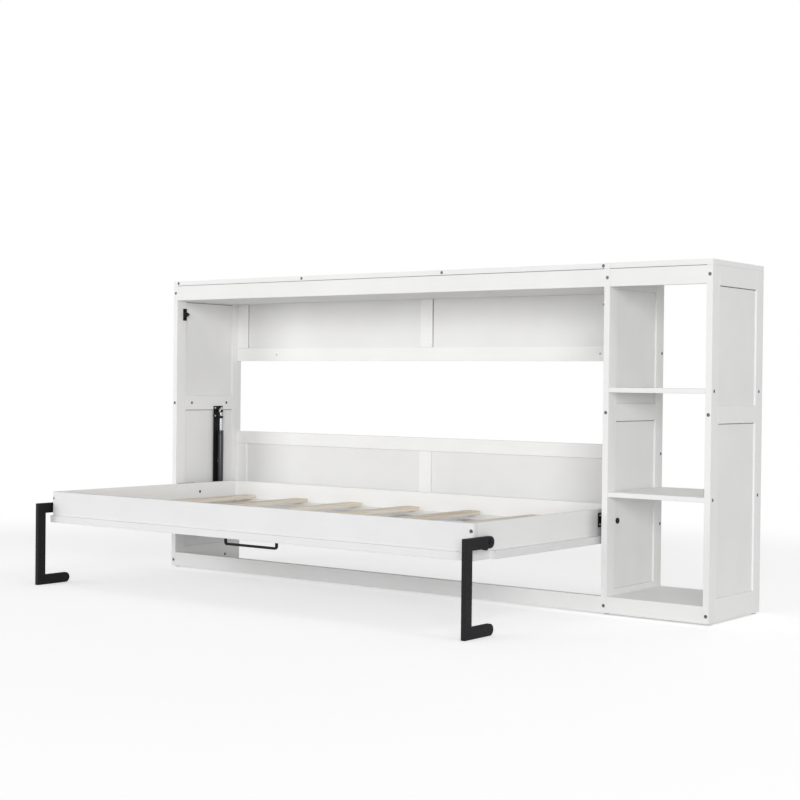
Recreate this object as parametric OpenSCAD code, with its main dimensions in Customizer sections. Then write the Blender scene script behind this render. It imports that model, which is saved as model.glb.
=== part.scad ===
// Wall bed that folds up sideways into a cabinet, with an open shelf unit on the right.
// The cabinet's front faces -Y, the wall is at +Y and the floor is at Z = 0. The bed is drawn folded down.
// Sizes below are in the cabinet's own grid: X from its left side, Y from its front plane, Z from the floor.

/* [Cabinet] */
// Width of the whole cabinet, with the shelf unit
total_w = 2484; // [2440:4:2560]
// Width of the shelf unit, from the middle side frame's outer face
unit_w = 384; // [340:4:440]
// Height of the cabinet
cab_h = 1205; // [1195:5:1225]
// Depth of the cabinet
cab_d = 394; // [388:2:430]
// Thickness of posts and rails
board_t = 22; // [20:1:24]
// Width of a post, front to back
post_w = 54; // [48:1:60]
// Thickness of the sunk panels in the side frames
infill_t = 10; // [8:1:12]
// Height of a side frame's bottom rail
side_low_h = 78; // [60:2:90]
// Underside of a side frame's middle rail
side_mid_z = 663; // [640:1:690]
// Height of a side frame's middle rail
side_mid_h = 60; // [50:2:70]
// Height of a side frame's top rail
side_top_h = 66; // [62:1:80]
// Height of the plastic glides under the posts
glide_h = 6; // [5:1:10]
// Diameter of a glide
glide_d = 18; // [14:1:20]

/* [Top] */
// Thickness of the top
top_t = 19; // [18:1:24]
// Width of the top frame's front and rear strips
top_strip_w = 54; // [48:1:70]
// Width of the top frame's cross rails
top_cross_w = 54; // [40:1:70]
// Number of cross rails in the top frame
top_cross_n = 4; // [3:1:5]
// Thickness of the sunk panels in the top frame
top_infill_t = 9; // [6:1:12]
// Height of the fascia under the top
fascia_h = 62; // [50:1:64]
// Thickness of the fascia
fascia_t = 20; // [16:1:22]
// Thickness of the soffit board in the bay
soffit_t = 10; // [8:1:14]
// Height of the rail at the back of the shelf unit's top
shelf_rear_h = 32; // [22:1:36]

/* [Back] */
// Thickness of the back frames
back_t = 22; // [18:1:24]
// Height of the upper back frame
upper_back_h = 310; // [290:2:340]
// Height of the upper back frame's lower rail
upper_rail_h = 55; // [45:1:65]
// Underside of the lower back frame
lower_back_z = 262; // [250:2:300]
// Top of the lower back frame
lower_back_top = 568; // [540:2:600]
// Height of the lower back frame's rails
lower_rail_h = 53; // [45:1:65]
// Width of the back frames' stiles
back_stile_w = 58; // [45:1:70]
// Thickness of the sunk panels in the back frames
back_infill_t = 9; // [6:1:12]
// Distance between the two columns of wall fixing holes
wall_fix_span = 1600; // [1200:20:1800]
// Diameter of a wall fixing hole
wall_fix_d = 8; // [6:0.5:10]

/* [Shelf unit] */
// Thickness of a shelf
shelf_t = 17; // [15:1:22]
// Top face of the upper shelf
upper_shelf_z = 779; // [760:1:800]
// Top face of the lower shelf
lower_shelf_z = 421; // [390:1:450]
// Height of the plinth and the bay's bottom rail
plinth_h = 57; // [50:1:57]
// Thickness of the plinth and the bay's bottom rail
plinth_t = 20; // [16:1:22]

/* [Bed] */
// Gap between the side frames and the ends of the bed's face panel
face_gap = 24; // [22:1:30]
// Ledge of the face panel outside the end boards
face_ledge = 22; // [20:1:26]
// Thickness of the face panel's frame
face_t = 26; // [22:1:28]
// Height of the face panel's underside over the floor, bed down
face_z = 238; // [232:1:250]
// Width of the face panel's front and rear members
face_rail_w = 130; // [125:1:150]
// Width of the face panel's stiles
face_stile_w = 96; // [80:2:120]
// Thickness of the sunk panels in the face panel
face_infill_t = 12; // [8:1:14]
// Gap over the face panel, bed up
face_top_gap = 10; // [8:1:14]
// Gap under the face panel, bed up
face_low_gap = 9; // [8:1:14]
// Set-back of the front rail from the face panel's front edge
front_lip = 7; // [4:1:12]
// Set-back of the rear rail from the face panel's rear edge
rear_lip = 8; // [4:1:12]
// Thickness of the bed rails and end boards
rail_t = 18; // [16:1:20]
// Height of the bed rails and end boards
rail_h = 91; // [80:1:100]
// Width of the corner posts
corner_w = 30; // [26:1:36]
// Radius on the corner posts' outer edge
corner_r = 12; // [6:1:16]
// Distance of the corner bolts from the rails' top edges
corner_bolt_drop = 25; // [20:1:40]
// Depth of the front corner bolts' heads under the corner posts' faces
corner_sink = 4.5; // [4:0.5:7]
// Number of slats
slat_n = 7; // [5:1:12]
// Width of a slat
slat_w = 62; // [50:1:80]
// Thickness of a slat
slat_t = 15; // [12:1:18]
// Gap between a slat's end and the rail
slat_gap = 1; // [0.5:0.5:3]
// Distance of the outer slats from the ledgers' ends
slat_in = 45; // [0:1:120]
// Height of the ledgers under the slats
ledger_h = 19; // [15:1:25]
// Width of the ledgers under the slats
ledger_w = 20; // [16:1:26]

/* [Handle] */
// Length of the pull handle
handle_l = 250; // [160:2:320]
// Diameter of the handle's bar
handle_d = 9; // [8:0.5:12]
// Reach of the handle out of the face panel
handle_reach = 32; // [26:1:40]
// Distance of the handle from the face panel's front edge
handle_in = 66; // [50:1:90]

/* [Legs] */
// Thickness of a leg
leg_t = 16; // [12:1:17]
// Width of a leg's bar and arms
leg_w = 38; // [32:1:42]
// Length of a leg's arms, front to back
leg_d = 158; // [150:1:170]
// Gap between the face panel's front edge and the legs
leg_front_gap = 19; // [14:1:30]
// Gap between the face panel and the leg's upper arm
leg_lift = 10; // [6:1:14]
// Play between the leg and the end board, for the spacer ring
leg_play = 2; // [1.5:0.1:3]
// Diameter of the leg's pivot bolt
leg_bolt_d = 10; // [8:0.5:12]
// Diameter of the pivot bolt's head
leg_head_d = 20; // [16:1:24]
// Thickness of the pivot bolt's head
leg_head_t = 4; // [3:0.5:5]
// Room round the leg's arm in the face panel's corner cut-out
leg_room = 4; // [3:0.5:8]
// Radius of the stop lug under the leg's upper arm
lug_r = 5; // [3:0.5:6]
// Distance of the stop lug from the leg's pivot
lug_in = 22.5; // [19:0.5:26]

/* [Fold mechanism] */
// Distance of the bed's pivot behind the front plane
pivot_y = 80; // [76:1:84]
// Diameter of the pivot pin
pivot_d = 12; // [10:0.5:16]
// Thickness of the pivot bracket
bracket_t = 4; // [3:0.5:5]
// Height of the pivot bracket
bracket_h = 68; // [60:1:90]
// Set-back of the pivot bracket's front edge
bracket_y = 7; // [5:1:12]
// Reach of the pivot bracket behind the pivot
bracket_back = 26; // [20:1:34]
// Width of the pivot pin's nut round the pin
pin_nut_w = 4; // [3:0.5:6]
// Distance of the pins' ends from the end board's inner face
pin_short = 2; // [1:0.5:4]
// Thickness of the lever plate on the end board
lever_t = 4; // [3:0.5:5]
// Reach of the lever plate in front of the pivot
lever_front = 25; // [20:1:30]
// Reach of the lever plate behind the strut's line
lever_tail = 30; // [25:1:35]
// Height of the lever plate
lever_h = 50; // [44:1:60]
// Distance of the strut's line behind the front plane
strut_y = 250; // [230:1:260]
// Height of the strut's top stud
strut_top_z = 657; // [640:1:665]
// Distance of the strut's line from the side frame's face
strut_in = 18; // [17.5:0.5:20]
// Diameter of the strut's tube
tube_d = 24; // [20:0.5:26]
// Diameter of the strut's rod
rod_d = 14; // [10:0.5:16]
// Length of bare rod over the tube, bed down
rod_bare = 52; // [45:1:60]
// Diameter of the collar on the rod
collar_d = 20; // [18:0.5:24]
// Height of the collar on the rod
collar_h = 12; // [8:1:16]
// Diameter of the strut's eyes
eye_d = 24; // [22:0.5:26]
// Thickness of the strut's eyes
eye_t = 9; // [7:0.5:10]
// Diameter of the strut's studs
stud_d = 8; // [6:0.5:10]
// Width of the shoulders round the studs
stud_shoulder = 2.5; // [2:0.5:3]
// Thickness of the top stud's head
stud_head_t = 2.5; // [2:0.5:3]
// Length of the neck between the lower eye and the tube
neck_l = 3; // [2:0.5:5]
// Step from the neck to the eye's faces
neck_step = 1; // [0.5:0.5:2]
// Thickness of the tube's closed end
tube_floor = 8; // [5:0.5:10]
// Thickness of the strut's mounting plate
plate_t = 3; // [2:0.5:4]
// Width of the strut's mounting plate
plate_w = 56; // [44:1:64]
// Height of the strut's mounting plate
plate_h = 380; // [340:2:384]
// Rise of the mounting plate over the strut's top stud
plate_over = 22; // [18:1:26]
// Distance of the mounting plate's screws from the strut's line
plate_col = 20; // [16:0.5:20]
// Distance of the mounting plate's second row of screws from its top
plate_row_drop = 43; // [38:1:60]
// Distance of the mounting plate's middle screw from its top
plate_mid_drop = 238; // [180:2:280]

/* [Latches] */
// Distance of the latches behind the front plane
latch_y = 43; // [42:0.5:45]
// Distance of the latches under the fascia
latch_drop = 58; // [54:1:60]
// Diameter of the latch bolt
latch_d = 8; // [6:0.5:9]
// Diameter of the latch bolt's grip
grip_d = 15; // [12:0.5:15]
// Thickness of the latch bolt's grip
grip_t = 5; // [4:0.5:6]
// Room round the latch bolt in the end board
keeper_room = 2.5; // [1:0.5:4]
// Height of the latch's base plate
latch_h = 50; // [44:1:56]
// Width of the latch's base plate
latch_w = 20; // [18:1:22]
// Diameter of the latch's barrel
barrel_d = 18; // [14:0.5:20]
// Length of the latch's barrel
barrel_l = 11; // [9:0.5:12]
// Length of the latch bolt past its grip
latch_tip = 7; // [6:0.5:8]
// Wood left behind the latch bolt's tail
latch_skin = 3; // [2:0.5:4]

/* [Fasteners] */
// Diameter of the furniture bolts
bolt_d = 7; // [6:0.5:8]
// Diameter of the furniture bolts' heads
bolt_head_d = 12; // [10:0.5:14]
// Thickness of the furniture bolts' heads
bolt_head_t = 3; // [2:0.5:4]
// Width of the socket in a bolt's head
bolt_hex = 5; // [4:0.5:6]
// Distance of a barrel nut from the rail's end
nut_in = 37; // [30:1:45]
// Diameter of a barrel nut
nut_d = 12; // [11:0.5:14]
// Wood left under a barrel nut
nut_skin = 4; // [3:0.5:6]
// Height of the lowest frame bolt over the floor
low_bolt_z = 31; // [26:1:50]
// Depth of a bolt's end in a rail or shelf
bolt_bite = 45; // [35:1:60]
// Distance of the front shelf bolts from the front plane
shelf_bolt_y = 20; // [16:1:30]
// Distance of the rear shelf bolts from the back
shelf_bolt_back = 28; // [24:1:34]
// Diameter of a wood screw
screw_d = 4.5; // [3:0.5:5]
// Diameter of a wood screw's head
screw_head_d = 9; // [7:0.5:10]
// Thickness of a wood screw's head
screw_head_t = 2.5; // [2:0.5:3]
// Bite of a wood screw in the wood
screw_bite = 8; // [6:0.5:9]
// Distance of the hardware's outer screws from its edges
screw_edge = 9; // [8:0.5:10]

/* [Fits] */
// Joint line between two bars of one frame
seam = 0.3; // [0.2:0.1:0.5]
// Room round a fixed bolt, nut or screw
fix_room = 0.2; // [0.1:0.1:0.4]
// Running clearance of a pivot or slide, on the radius
run_room = 0.05; // [0.03:0.01:0.08]
// Side play between two parts that turn on each other
side_play = 0.3; // [0.2:0.1:0.4]

/* [Hidden] */

// Finishes
white_paint = "#F2F2F1";
black_steel = "#232325";
bright_steel = "#C9CBCD";
raw_pine = "#D8C4AC";
black_plastic = "#1C1C1E";
pale_plastic = "#D9D9D7";

// Overlap of a cut past the face it opens in
eps = 0.5;
// Segments of large and small rounds
round_fn = 48;
small_fn = 24;
socket_fn = 6;

// Side frames and the bay between them
mid_x = total_w - unit_w - board_t;
right_x = total_w - board_t;
bay_w = mid_x + board_t;
frame_z1 = cab_h - top_t;
fascia_z = frame_z1 - fascia_h;
back_y = cab_d - back_t;
upper_back_z = frame_z1 - upper_back_h;
infill_sink = (board_t - infill_t) / 2;
side_spans = [
  [glide_h, glide_h + side_low_h],
  [side_mid_z, side_mid_z + side_mid_h],
  [frame_z1 - side_top_h, frame_z1]
];
plinth_z1 = glide_h + plinth_h;

// Bed, folded down: the pivot's height makes the closed face panel flush with the cabinet's front
pivot_z = face_z + pivot_y;
face_x = board_t + face_gap;
end_x = face_x + face_ledge;
face_y0 = pivot_z + pivot_y - (fascia_z - face_top_gap);
face_y1 = pivot_z + pivot_y - (plinth_z1 + face_low_gap);
deck_z = face_z + face_t;
rail_y0 = face_y0 + front_lip;
rail_y1 = face_y1 - rear_lip;
slat_z = deck_z + ledger_h;
ledger_x = end_x + corner_w;

// Legs
leg_z1 = deck_z + leg_lift + leg_w;
leg_y0 = face_y0 - leg_front_gap - leg_w;
leg_x = end_x - leg_play - leg_t;
leg_pivot_y = leg_y0 + leg_d - leg_w / 2;
leg_pivot_z = leg_z1 - leg_w / 2;
cutout_y1 = leg_pivot_y + leg_w / 2 + leg_room;

// Gas strut, upright with the bed down
strut_x = board_t + strut_in;
plate_z1 = strut_top_z + plate_over;
tube_z1 = strut_top_z - eye_d / 2 - collar_d - rod_bare;
tube_z0 = pivot_z + eye_d / 2 + neck_l;
rod_z0 = tube_z0 + tube_floor;
eye_half = eye_t / 2 + side_play;
shoulder_d = stud_d + 2 * stud_shoulder;
sleeve_d = screw_head_d + fix_room;

// Latch: its hole in the end board is where the closed bed brings it
latch_z = fascia_z - latch_drop;
latch_hole_y = pivot_y - (latch_z - pivot_z);
latch_hole_z = pivot_z + (latch_y - pivot_y);

// Rows of fasteners
frame_bolt_zs = [low_bolt_z, side_mid_z + side_mid_h / 2, frame_z1 - fascia_h / 2];
frame_bolt_l = post_w + nut_in + nut_d / 2 - eps;
back_bolt_zs = [
  lower_back_z + lower_rail_h / 2, lower_back_top - lower_rail_h / 2,
  upper_back_z + upper_rail_h / 2, frame_bolt_zs[2] + bolt_head_d + bolt_d / 2
];
wall_fix_zs = [upper_back_z + upper_rail_h / 2, frame_z1 - fascia_h / 2];
shelf_bolt_zs = [upper_shelf_z - shelf_t / 2, lower_shelf_z - shelf_t / 2];
shelf_bolt_ys = [shelf_bolt_y, cab_d - shelf_bolt_back];
side_bolt_l = board_t + bolt_bite;
top_cross_pitch = (bay_w - top_cross_w) / (top_cross_n - 1);
top_x1 = bay_w - seam;
corner_bolt_l = corner_w + bolt_bite;
corner_bolt_z = deck_z + rail_h - corner_bolt_drop;
plate_rows = [plate_z1 - screw_edge, plate_z1 - plate_row_drop, plate_z1 - plate_h + screw_edge];
plate_screw_l = plate_t + infill_sink + screw_bite;
bracket_rows = [pivot_z - bracket_h / 2 + screw_edge, pivot_z + bracket_h / 2 - screw_edge];
bracket_cols = [bracket_y + screw_edge, post_w - screw_edge];
lever_cols = [pivot_y - lever_front + screw_edge, (pivot_y + strut_y) / 2, strut_y - lever_h / 2];
lever_row = lever_h / 2 - screw_edge;
lever_end_y = strut_y + lever_tail - lever_h / 2;
latch_row = latch_h / 2 - screw_edge;
latch_x = latch_skin + eps;

// Left edges of the back frames' and the face panel's three stiles
back_stile_xs = [board_t, (bay_w - back_stile_w) / 2, mid_x - back_stile_w];
face_stile_xs = [face_x, (bay_w - face_stile_w) / 2, bay_w - face_x - face_stile_w];

// Place in the row's frame: the origin is under the middle of the whole object, on the floor
x_left = -total_w / 2;
y_front = -(leg_y0 + cab_d) / 2;

module in_frame() translate([x_left, y_front, 0]) children();

// The twin of a left-hand part, across the bed bay
module twin() translate([bay_w, 0, 0]) mirror([1, 0, 0]) children();

module both() {
  children();
  twin() children();
}

module box(a, b) translate(a) cube([b[0] - a[0], b[1] - a[1], b[2] - a[2]]);

// Round bars along +X and +Z from a point
module bar_x(at, d, l) translate(at) rotate([0, 90, 0]) cylinder(d = d, h = l, $fn = round_fn);

module bar_z(at, d, l) translate(at) cylinder(d = d, h = l, $fn = round_fn);

// Flat plate of thickness t whose left face is at x, over the spans ys and zs
module slab_x(x, t, ys, zs) box([x, ys[0], zs[0]], [x + t, ys[1], zs[1]]);

// ---- Fasteners, all drawn into the wood along +Z ----

module bolt(l) difference() {
  union() {
    cylinder(d = bolt_head_d, h = bolt_head_t, $fn = small_fn);
    cylinder(d = bolt_d, h = l, $fn = small_fn);
  }
  translate([0, 0, -eps]) cylinder(d = bolt_hex, h = bolt_head_t, $fn = socket_fn);
}

module bolt_hole(l) {
  translate([0, 0, -eps]) bolt_way(bolt_head_t + eps);
  cylinder(d = bolt_d + 2 * fix_room, h = l + fix_room, $fn = small_fn);
}

// Way in for a bolt's head to its seat
module bolt_way(l) cylinder(d = bolt_head_d + 2 * fix_room, h = l, $fn = small_fn);

module screw(l) {
  translate([0, 0, -screw_head_t]) cylinder(d = screw_head_d, h = screw_head_t, $fn = small_fn);
  cylinder(d = screw_d, h = l, $fn = small_fn);
}

module screw_hole(l) {
  translate([0, 0, -eps]) cylinder(d = screw_d + 2 * fix_room, h = l + eps + fix_room, $fn = small_fn);
}

// A barrel nut with its cross hole along Y, for the bolt in the board's middle
module barrel_nut() difference() {
  cylinder(d = nut_d, h = board_t - nut_skin, $fn = small_fn);
  translate([0, 0, board_t / 2]) rotate([90, 0, 0]) nut_cross_hole();
}

module nut_cross_hole() {
  cylinder(d = bolt_d + 2 * fix_room, h = nut_d + 2 * eps, center = true, $fn = small_fn);
}

module nut_hole() translate([0, 0, -eps]) {
  cylinder(d = nut_d + 2 * fix_room, h = board_t - nut_skin + eps, $fn = small_fn);
}

// ---- Places of the fasteners ----

// Bolts through the front and rear posts of the side frame at x
module at_frame_bolts(x) for (z = frame_bolt_zs) {
  translate([x + board_t / 2, 0, z]) rotate([-90, 0, 0]) children();
  translate([x + board_t / 2, cab_d, z]) rotate([90, 0, 0]) children();
}

// Barrel nuts in the side frame at x, let in from its right face (side = 1) or left face (side = -1)
module at_barrel_nuts(x, side) for (z = frame_bolt_zs, y = [post_w + nut_in, cab_d - post_w - nut_in]) {
  translate([side > 0 ? x + board_t : x, y, z]) rotate([0, -90 * side, 0]) children();
}

// Bolts from the cabinet's left side into the back frames
module at_back_bolts() for (z = back_bolt_zs) {
  translate([0, cab_d - back_t / 2, z]) rotate([0, 90, 0]) children();
}

// Bolts from the bay and from the right side into the shelves
module at_mid_shelf_bolts() for (y = shelf_bolt_ys, z = shelf_bolt_zs) {
  translate([mid_x, y, z]) rotate([0, 90, 0]) children();
}

module at_right_shelf_bolts() for (y = shelf_bolt_ys, z = shelf_bolt_zs) {
  translate([total_w, y, z]) rotate([0, -90, 0]) children();
}

// Bolts through the top's strips into its cross rails
module at_top_bolts() for (i = [0 : top_cross_n - 1]) {
  x = top_cross_w / 2 + i * top_cross_pitch;
  translate([x, 0, cab_h - top_t / 2]) rotate([-90, 0, 0]) children();
  translate([x, cab_d, cab_h - top_t / 2]) rotate([90, 0, 0]) children();
}

// Screws of the left mounting plate, from its face: the top row on the rail, the others on the sunk panel
module at_plate_screws() {
  at_rows([plate_rows[0]]) children();
  at_sleeves() children();
}

module at_sleeves() {
  at_rows([plate_rows[1], plate_rows[2]]) children();
  translate([board_t + plate_t, strut_y, plate_z1 - plate_mid_drop]) rotate([0, -90, 0]) children();
}

module at_rows(zs) for (y = [strut_y - plate_col, strut_y + plate_col], z = zs) {
  translate([board_t + plate_t, y, z]) rotate([0, -90, 0]) children();
}

// Screws of the left pivot bracket, from its face
module at_bracket_screws() for (y = bracket_cols, z = bracket_rows) {
  translate([board_t + bracket_t, y, z]) rotate([0, -90, 0]) children();
}

// Screws of the left lever plate, from its face into the end board
module at_lever_screws() for (y = lever_cols, z = [pivot_z - lever_row, pivot_z + lever_row]) {
  translate([end_x - lever_t, y, z]) rotate([0, 90, 0]) children();
}

// Screws of the left latch's base plate
module at_latch_screws() for (z = [latch_z - latch_row, latch_z + latch_row]) {
  translate([board_t + plate_t, latch_y, z]) rotate([0, -90, 0]) children();
}

// Bolts at the left corners of the bed, front and rear, into the end board's ends
module at_corner_bolts() {
  translate([end_x + rail_t / 2, rail_y0 + corner_sink, corner_bolt_z]) rotate([-90, 0, 0]) children();
  translate([end_x + rail_t / 2, rail_y1, corner_bolt_z]) rotate([90, 0, 0]) children();
}

// ---- Side frames ----

module side_posts(x) difference() {
  for (y = [0, cab_d - post_w]) box([x, y, glide_h], [x + board_t, y + post_w, frame_z1]);
  at_frame_bolts(x) bolt_hole(frame_bolt_l);
}

module side_rails(x, side) difference() {
  for (s = side_spans) box([x, post_w, s[0]], [x + board_t, cab_d - post_w, s[1]]);
  at_frame_bolts(x) bolt_hole(frame_bolt_l);
  at_barrel_nuts(x, side) nut_hole();
}

module side_infills(x) for (i = [0, 1]) {
  x0 = x + infill_sink;
  box([x0, post_w, side_spans[i][1]], [x0 + infill_t, cab_d - post_w, side_spans[i + 1][0]]);
}

// What the bed's hardware and the back frames need in the left posts
module bay_post_cuts() {
  at_back_bolts() bolt_hole(side_bolt_l);
  at_bracket_screws() screw_hole(bracket_t + screw_bite);
  at_latch_screws() screw_hole(plate_t + screw_bite);
  bar_x([latch_skin, latch_y, latch_z], latch_d + 2 * side_play, board_t);
}

// What the strut's plate and the pivot pin need in the left rails and infills
module bay_panel_cuts() {
  at_plate_screws() screw_hole(plate_screw_l);
  bar_x([0, pivot_y, pivot_z], pivot_d + 2 * fix_room, board_t);
}

module left_posts() color(white_paint) in_frame() difference() {
  side_posts(0);
  bay_post_cuts();
}

module left_rails() color(white_paint) in_frame() difference() {
  side_rails(0, 1);
  bay_panel_cuts();
}

module left_infills() color(white_paint) in_frame() difference() {
  side_infills(0);
  bay_panel_cuts();
}

module mid_posts() color(white_paint) in_frame() difference() {
  side_posts(mid_x);
  twin() bay_post_cuts();
  at_mid_shelf_bolts() bolt_hole(side_bolt_l);
}

module mid_rails() color(white_paint) in_frame() difference() {
  side_rails(mid_x, -1);
  twin() bay_panel_cuts();
}

module mid_infills() color(white_paint) in_frame() difference() {
  side_infills(mid_x);
  twin() bay_panel_cuts();
}

module right_posts() color(white_paint) in_frame() difference() {
  side_posts(right_x);
  at_right_shelf_bolts() bolt_hole(side_bolt_l);
}

module right_rails() color(white_paint) in_frame() side_rails(right_x, -1);

module right_infills() color(white_paint) in_frame() side_infills(right_x);

// ---- Top ----

module bay_top_frame() color(white_paint) in_frame() difference() {
  union() {
    for (y = [0, cab_d - top_strip_w]) box([0, y, frame_z1], [top_x1, y + top_strip_w, cab_h]);
    for (i = [0 : top_cross_n - 1]) {
      x = i * top_cross_pitch;
      y = top_strip_w + seam;
      box([x, y, frame_z1], [min(x + top_cross_w, top_x1), cab_d - y, cab_h]);
    }
  }
  at_top_bolts() bolt_hole(top_strip_w + bolt_bite);
}

module bay_top_infills() color(white_paint) in_frame() for (i = [0 : top_cross_n - 2]) {
  x = i * top_cross_pitch + top_cross_w;
  z = frame_z1 + (top_t - top_infill_t) / 2;
  y = top_strip_w;
  box([x, y, z], [x + top_cross_pitch - top_cross_w, cab_d - y, z + top_infill_t]);
}

module shelf_top() color(white_paint) in_frame() box([bay_w, 0, frame_z1], [total_w, cab_d, cab_h]);

module fascia(x0, x1) box([x0, 0, fascia_z], [x1, fascia_t, frame_z1]);

module bay_fascia() color(white_paint) in_frame() fascia(board_t, mid_x);

module shelf_fascia() color(white_paint) in_frame() fascia(bay_w, right_x);

module bay_soffit() color(white_paint) in_frame() {
  box([board_t, fascia_t, fascia_z], [mid_x, back_y, fascia_z + soffit_t]);
}

module shelf_rear_rail() color(white_paint) in_frame() {
  box([bay_w, back_y, frame_z1 - shelf_rear_h], [right_x, cab_d, frame_z1]);
}

// ---- Back frames ----

module back_frame(z0, z1, low_h, high_h) difference() {
  union() {
    box([board_t, back_y, z0], [mid_x, cab_d, z0 + low_h]);
    box([board_t, back_y, z1 - high_h], [mid_x, cab_d, z1]);
    for (x = back_stile_xs) {
      box([x, back_y, z0 + low_h + seam], [x + back_stile_w, cab_d, z1 - high_h - seam]);
    }
  }
  both() at_back_bolts() bolt_hole(side_bolt_l);
}

module back_infills(z0, z1) for (i = [0, 1]) {
  y = back_y + (back_t - back_infill_t) / 2;
  box([back_stile_xs[i] + back_stile_w, y, z0], [back_stile_xs[i + 1], y + back_infill_t, z1]);
}

module upper_back_frame() color(white_paint) in_frame() difference() {
  back_frame(upper_back_z, frame_z1, upper_rail_h, fascia_h);
  for (x = [-wall_fix_span / 2, wall_fix_span / 2], z = wall_fix_zs) {
    translate([bay_w / 2 + x, back_y - eps, z]) wall_hole();
  }
}

module wall_hole() rotate([-90, 0, 0]) cylinder(d = wall_fix_d, h = back_t + 2 * eps, $fn = round_fn);

module upper_back_infills() color(white_paint) in_frame() {
  back_infills(upper_back_z + upper_rail_h, frame_z1 - fascia_h);
}

module lower_back_frame() color(white_paint) in_frame() {
  back_frame(lower_back_z, lower_back_top, lower_rail_h, lower_rail_h);
}

module lower_back_infills() color(white_paint) in_frame() {
  back_infills(lower_back_z + lower_rail_h, lower_back_top - lower_rail_h);
}

// ---- Bottom and shelves ----

module bay_bottom_rail() color(white_paint) in_frame() {
  box([board_t, 0, glide_h], [mid_x, plinth_t, plinth_z1]);
}

module shelf_plinth() color(white_paint) in_frame() {
  box([bay_w, 0, glide_h], [right_x, plinth_t, plinth_z1]);
}

module shelf_floor() color(white_paint) in_frame() {
  box([bay_w, plinth_t, plinth_z1 - shelf_t], [right_x, cab_d, plinth_z1]);
}

module shelf(z) difference() {
  box([bay_w, 0, z - shelf_t], [right_x, cab_d, z]);
  at_mid_shelf_bolts() bolt_hole(side_bolt_l);
  at_right_shelf_bolts() bolt_hole(side_bolt_l);
}

module upper_shelf() color(white_paint) in_frame() shelf(upper_shelf_z);

module lower_shelf() color(white_paint) in_frame() shelf(lower_shelf_z);

module floor_glides() color(pale_plastic) in_frame() {
  for (x = [0, mid_x, right_x], y = [post_w / 2, cab_d - post_w / 2]) {
    translate([x + board_t / 2, y, 0]) cylinder(d = glide_d, h = glide_h, $fn = round_fn);
  }
}

// ---- Cabinet fasteners ----

module frame_bolts() color(bright_steel) in_frame() {
  for (x = [0, mid_x, right_x]) at_frame_bolts(x) bolt(frame_bolt_l);
  at_top_bolts() bolt(top_strip_w + bolt_bite);
}

module barrel_nuts() color(bright_steel) in_frame() {
  at_barrel_nuts(0, 1) barrel_nut();
  for (x = [mid_x, right_x]) at_barrel_nuts(x, -1) barrel_nut();
}

module side_bolts() color(bright_steel) in_frame() {
  both() at_back_bolts() bolt(side_bolt_l);
  at_mid_shelf_bolts() bolt(side_bolt_l);
  at_right_shelf_bolts() bolt(side_bolt_l);
}

// ---- Fold mechanism, left hand ----

// Plate on the side frame with the strut's top stud; its sleeves reach into the sunk panel
module mount_plate() {
  half_w = plate_w / 2;
  stud_x = board_t + plate_t / 2;
  difference() {
    union() {
      slab_x(board_t, plate_t, [strut_y - half_w, strut_y + half_w], [plate_z1 - plate_h, plate_z1]);
      at_sleeves() sleeve();
    }
    at_plate_screws() screw_hole(plate_screw_l);
  }
  bar_x([stud_x, strut_y, strut_top_z], shoulder_d, strut_x - eye_half - stud_x);
  bar_x([stud_x, strut_y, strut_top_z], stud_d, strut_in + eye_half);
  bar_x([strut_x + eye_half, strut_y, strut_top_z], shoulder_d, stud_head_t);
}

module sleeve() translate([0, 0, plate_t / 2]) {
  cylinder(d = sleeve_d, h = plate_t / 2 + infill_sink, $fn = small_fn);
}

module left_mount_plate() color(black_steel) in_frame() mount_plate();

module right_mount_plate() color(black_steel) in_frame() twin() mount_plate();

// Bracket on the front post with the pivot pin, which a nut holds from outside
module pivot_bracket() {
  half_h = bracket_h / 2;
  nut_x = infill_sink - bracket_t;
  difference() {
    slab_x(board_t, bracket_t, [bracket_y, pivot_y + bracket_back], [pivot_z - half_h, pivot_z + half_h]);
    at_bracket_screws() screw_hole(bracket_t);
  }
  bar_x([nut_x, pivot_y, pivot_z], pivot_d, end_x + rail_t - pin_short - nut_x);
  bar_x([nut_x, pivot_y, pivot_z], pivot_d + 2 * pin_nut_w, bracket_t);
}

module left_pivot_bracket() color(black_steel) in_frame() pivot_bracket();

module right_pivot_bracket() color(black_steel) in_frame() twin() pivot_bracket();

module plate_screws() color(bright_steel) in_frame() both() {
  at_plate_screws() screw(plate_screw_l);
  at_bracket_screws() screw(bracket_t + screw_bite);
  at_latch_screws() screw(plate_t + screw_bite);
}

module strut_rod() difference() {
  union() {
    bar_x([strut_x - eye_t / 2, strut_y, strut_top_z], eye_d, eye_t);
    bar_z([strut_x, strut_y, rod_z0], rod_d, strut_top_z - (eye_d + stud_d) / 4 - rod_z0);
    bar_z([strut_x, strut_y, tube_z1 + rod_bare], collar_d, collar_h);
  }
  bar_x([0, strut_y, strut_top_z], stud_d + 2 * run_room, strut_x + eye_d);
}

module strut_tube() {
  difference() {
    bar_z([strut_x, strut_y, tube_z0], tube_d, tube_z1 - tube_z0);
    bar_z([strut_x, strut_y, rod_z0 - side_play], rod_d + 2 * run_room, tube_z1 - rod_z0 + side_play + eps);
  }
  bar_x([strut_x - eye_t / 2, strut_y, pivot_z], eye_d, eye_t);
  bar_z([strut_x, strut_y, pivot_z], eye_t - neck_step, tube_z0 - pivot_z + neck_step);
}

module left_strut_rod() color(bright_steel) in_frame() strut_rod();

module right_strut_rod() color(bright_steel) in_frame() twin() strut_rod();

module left_strut_tube() color(black_steel) in_frame() strut_tube();

module right_strut_tube() color(black_steel) in_frame() twin() strut_tube();

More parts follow.
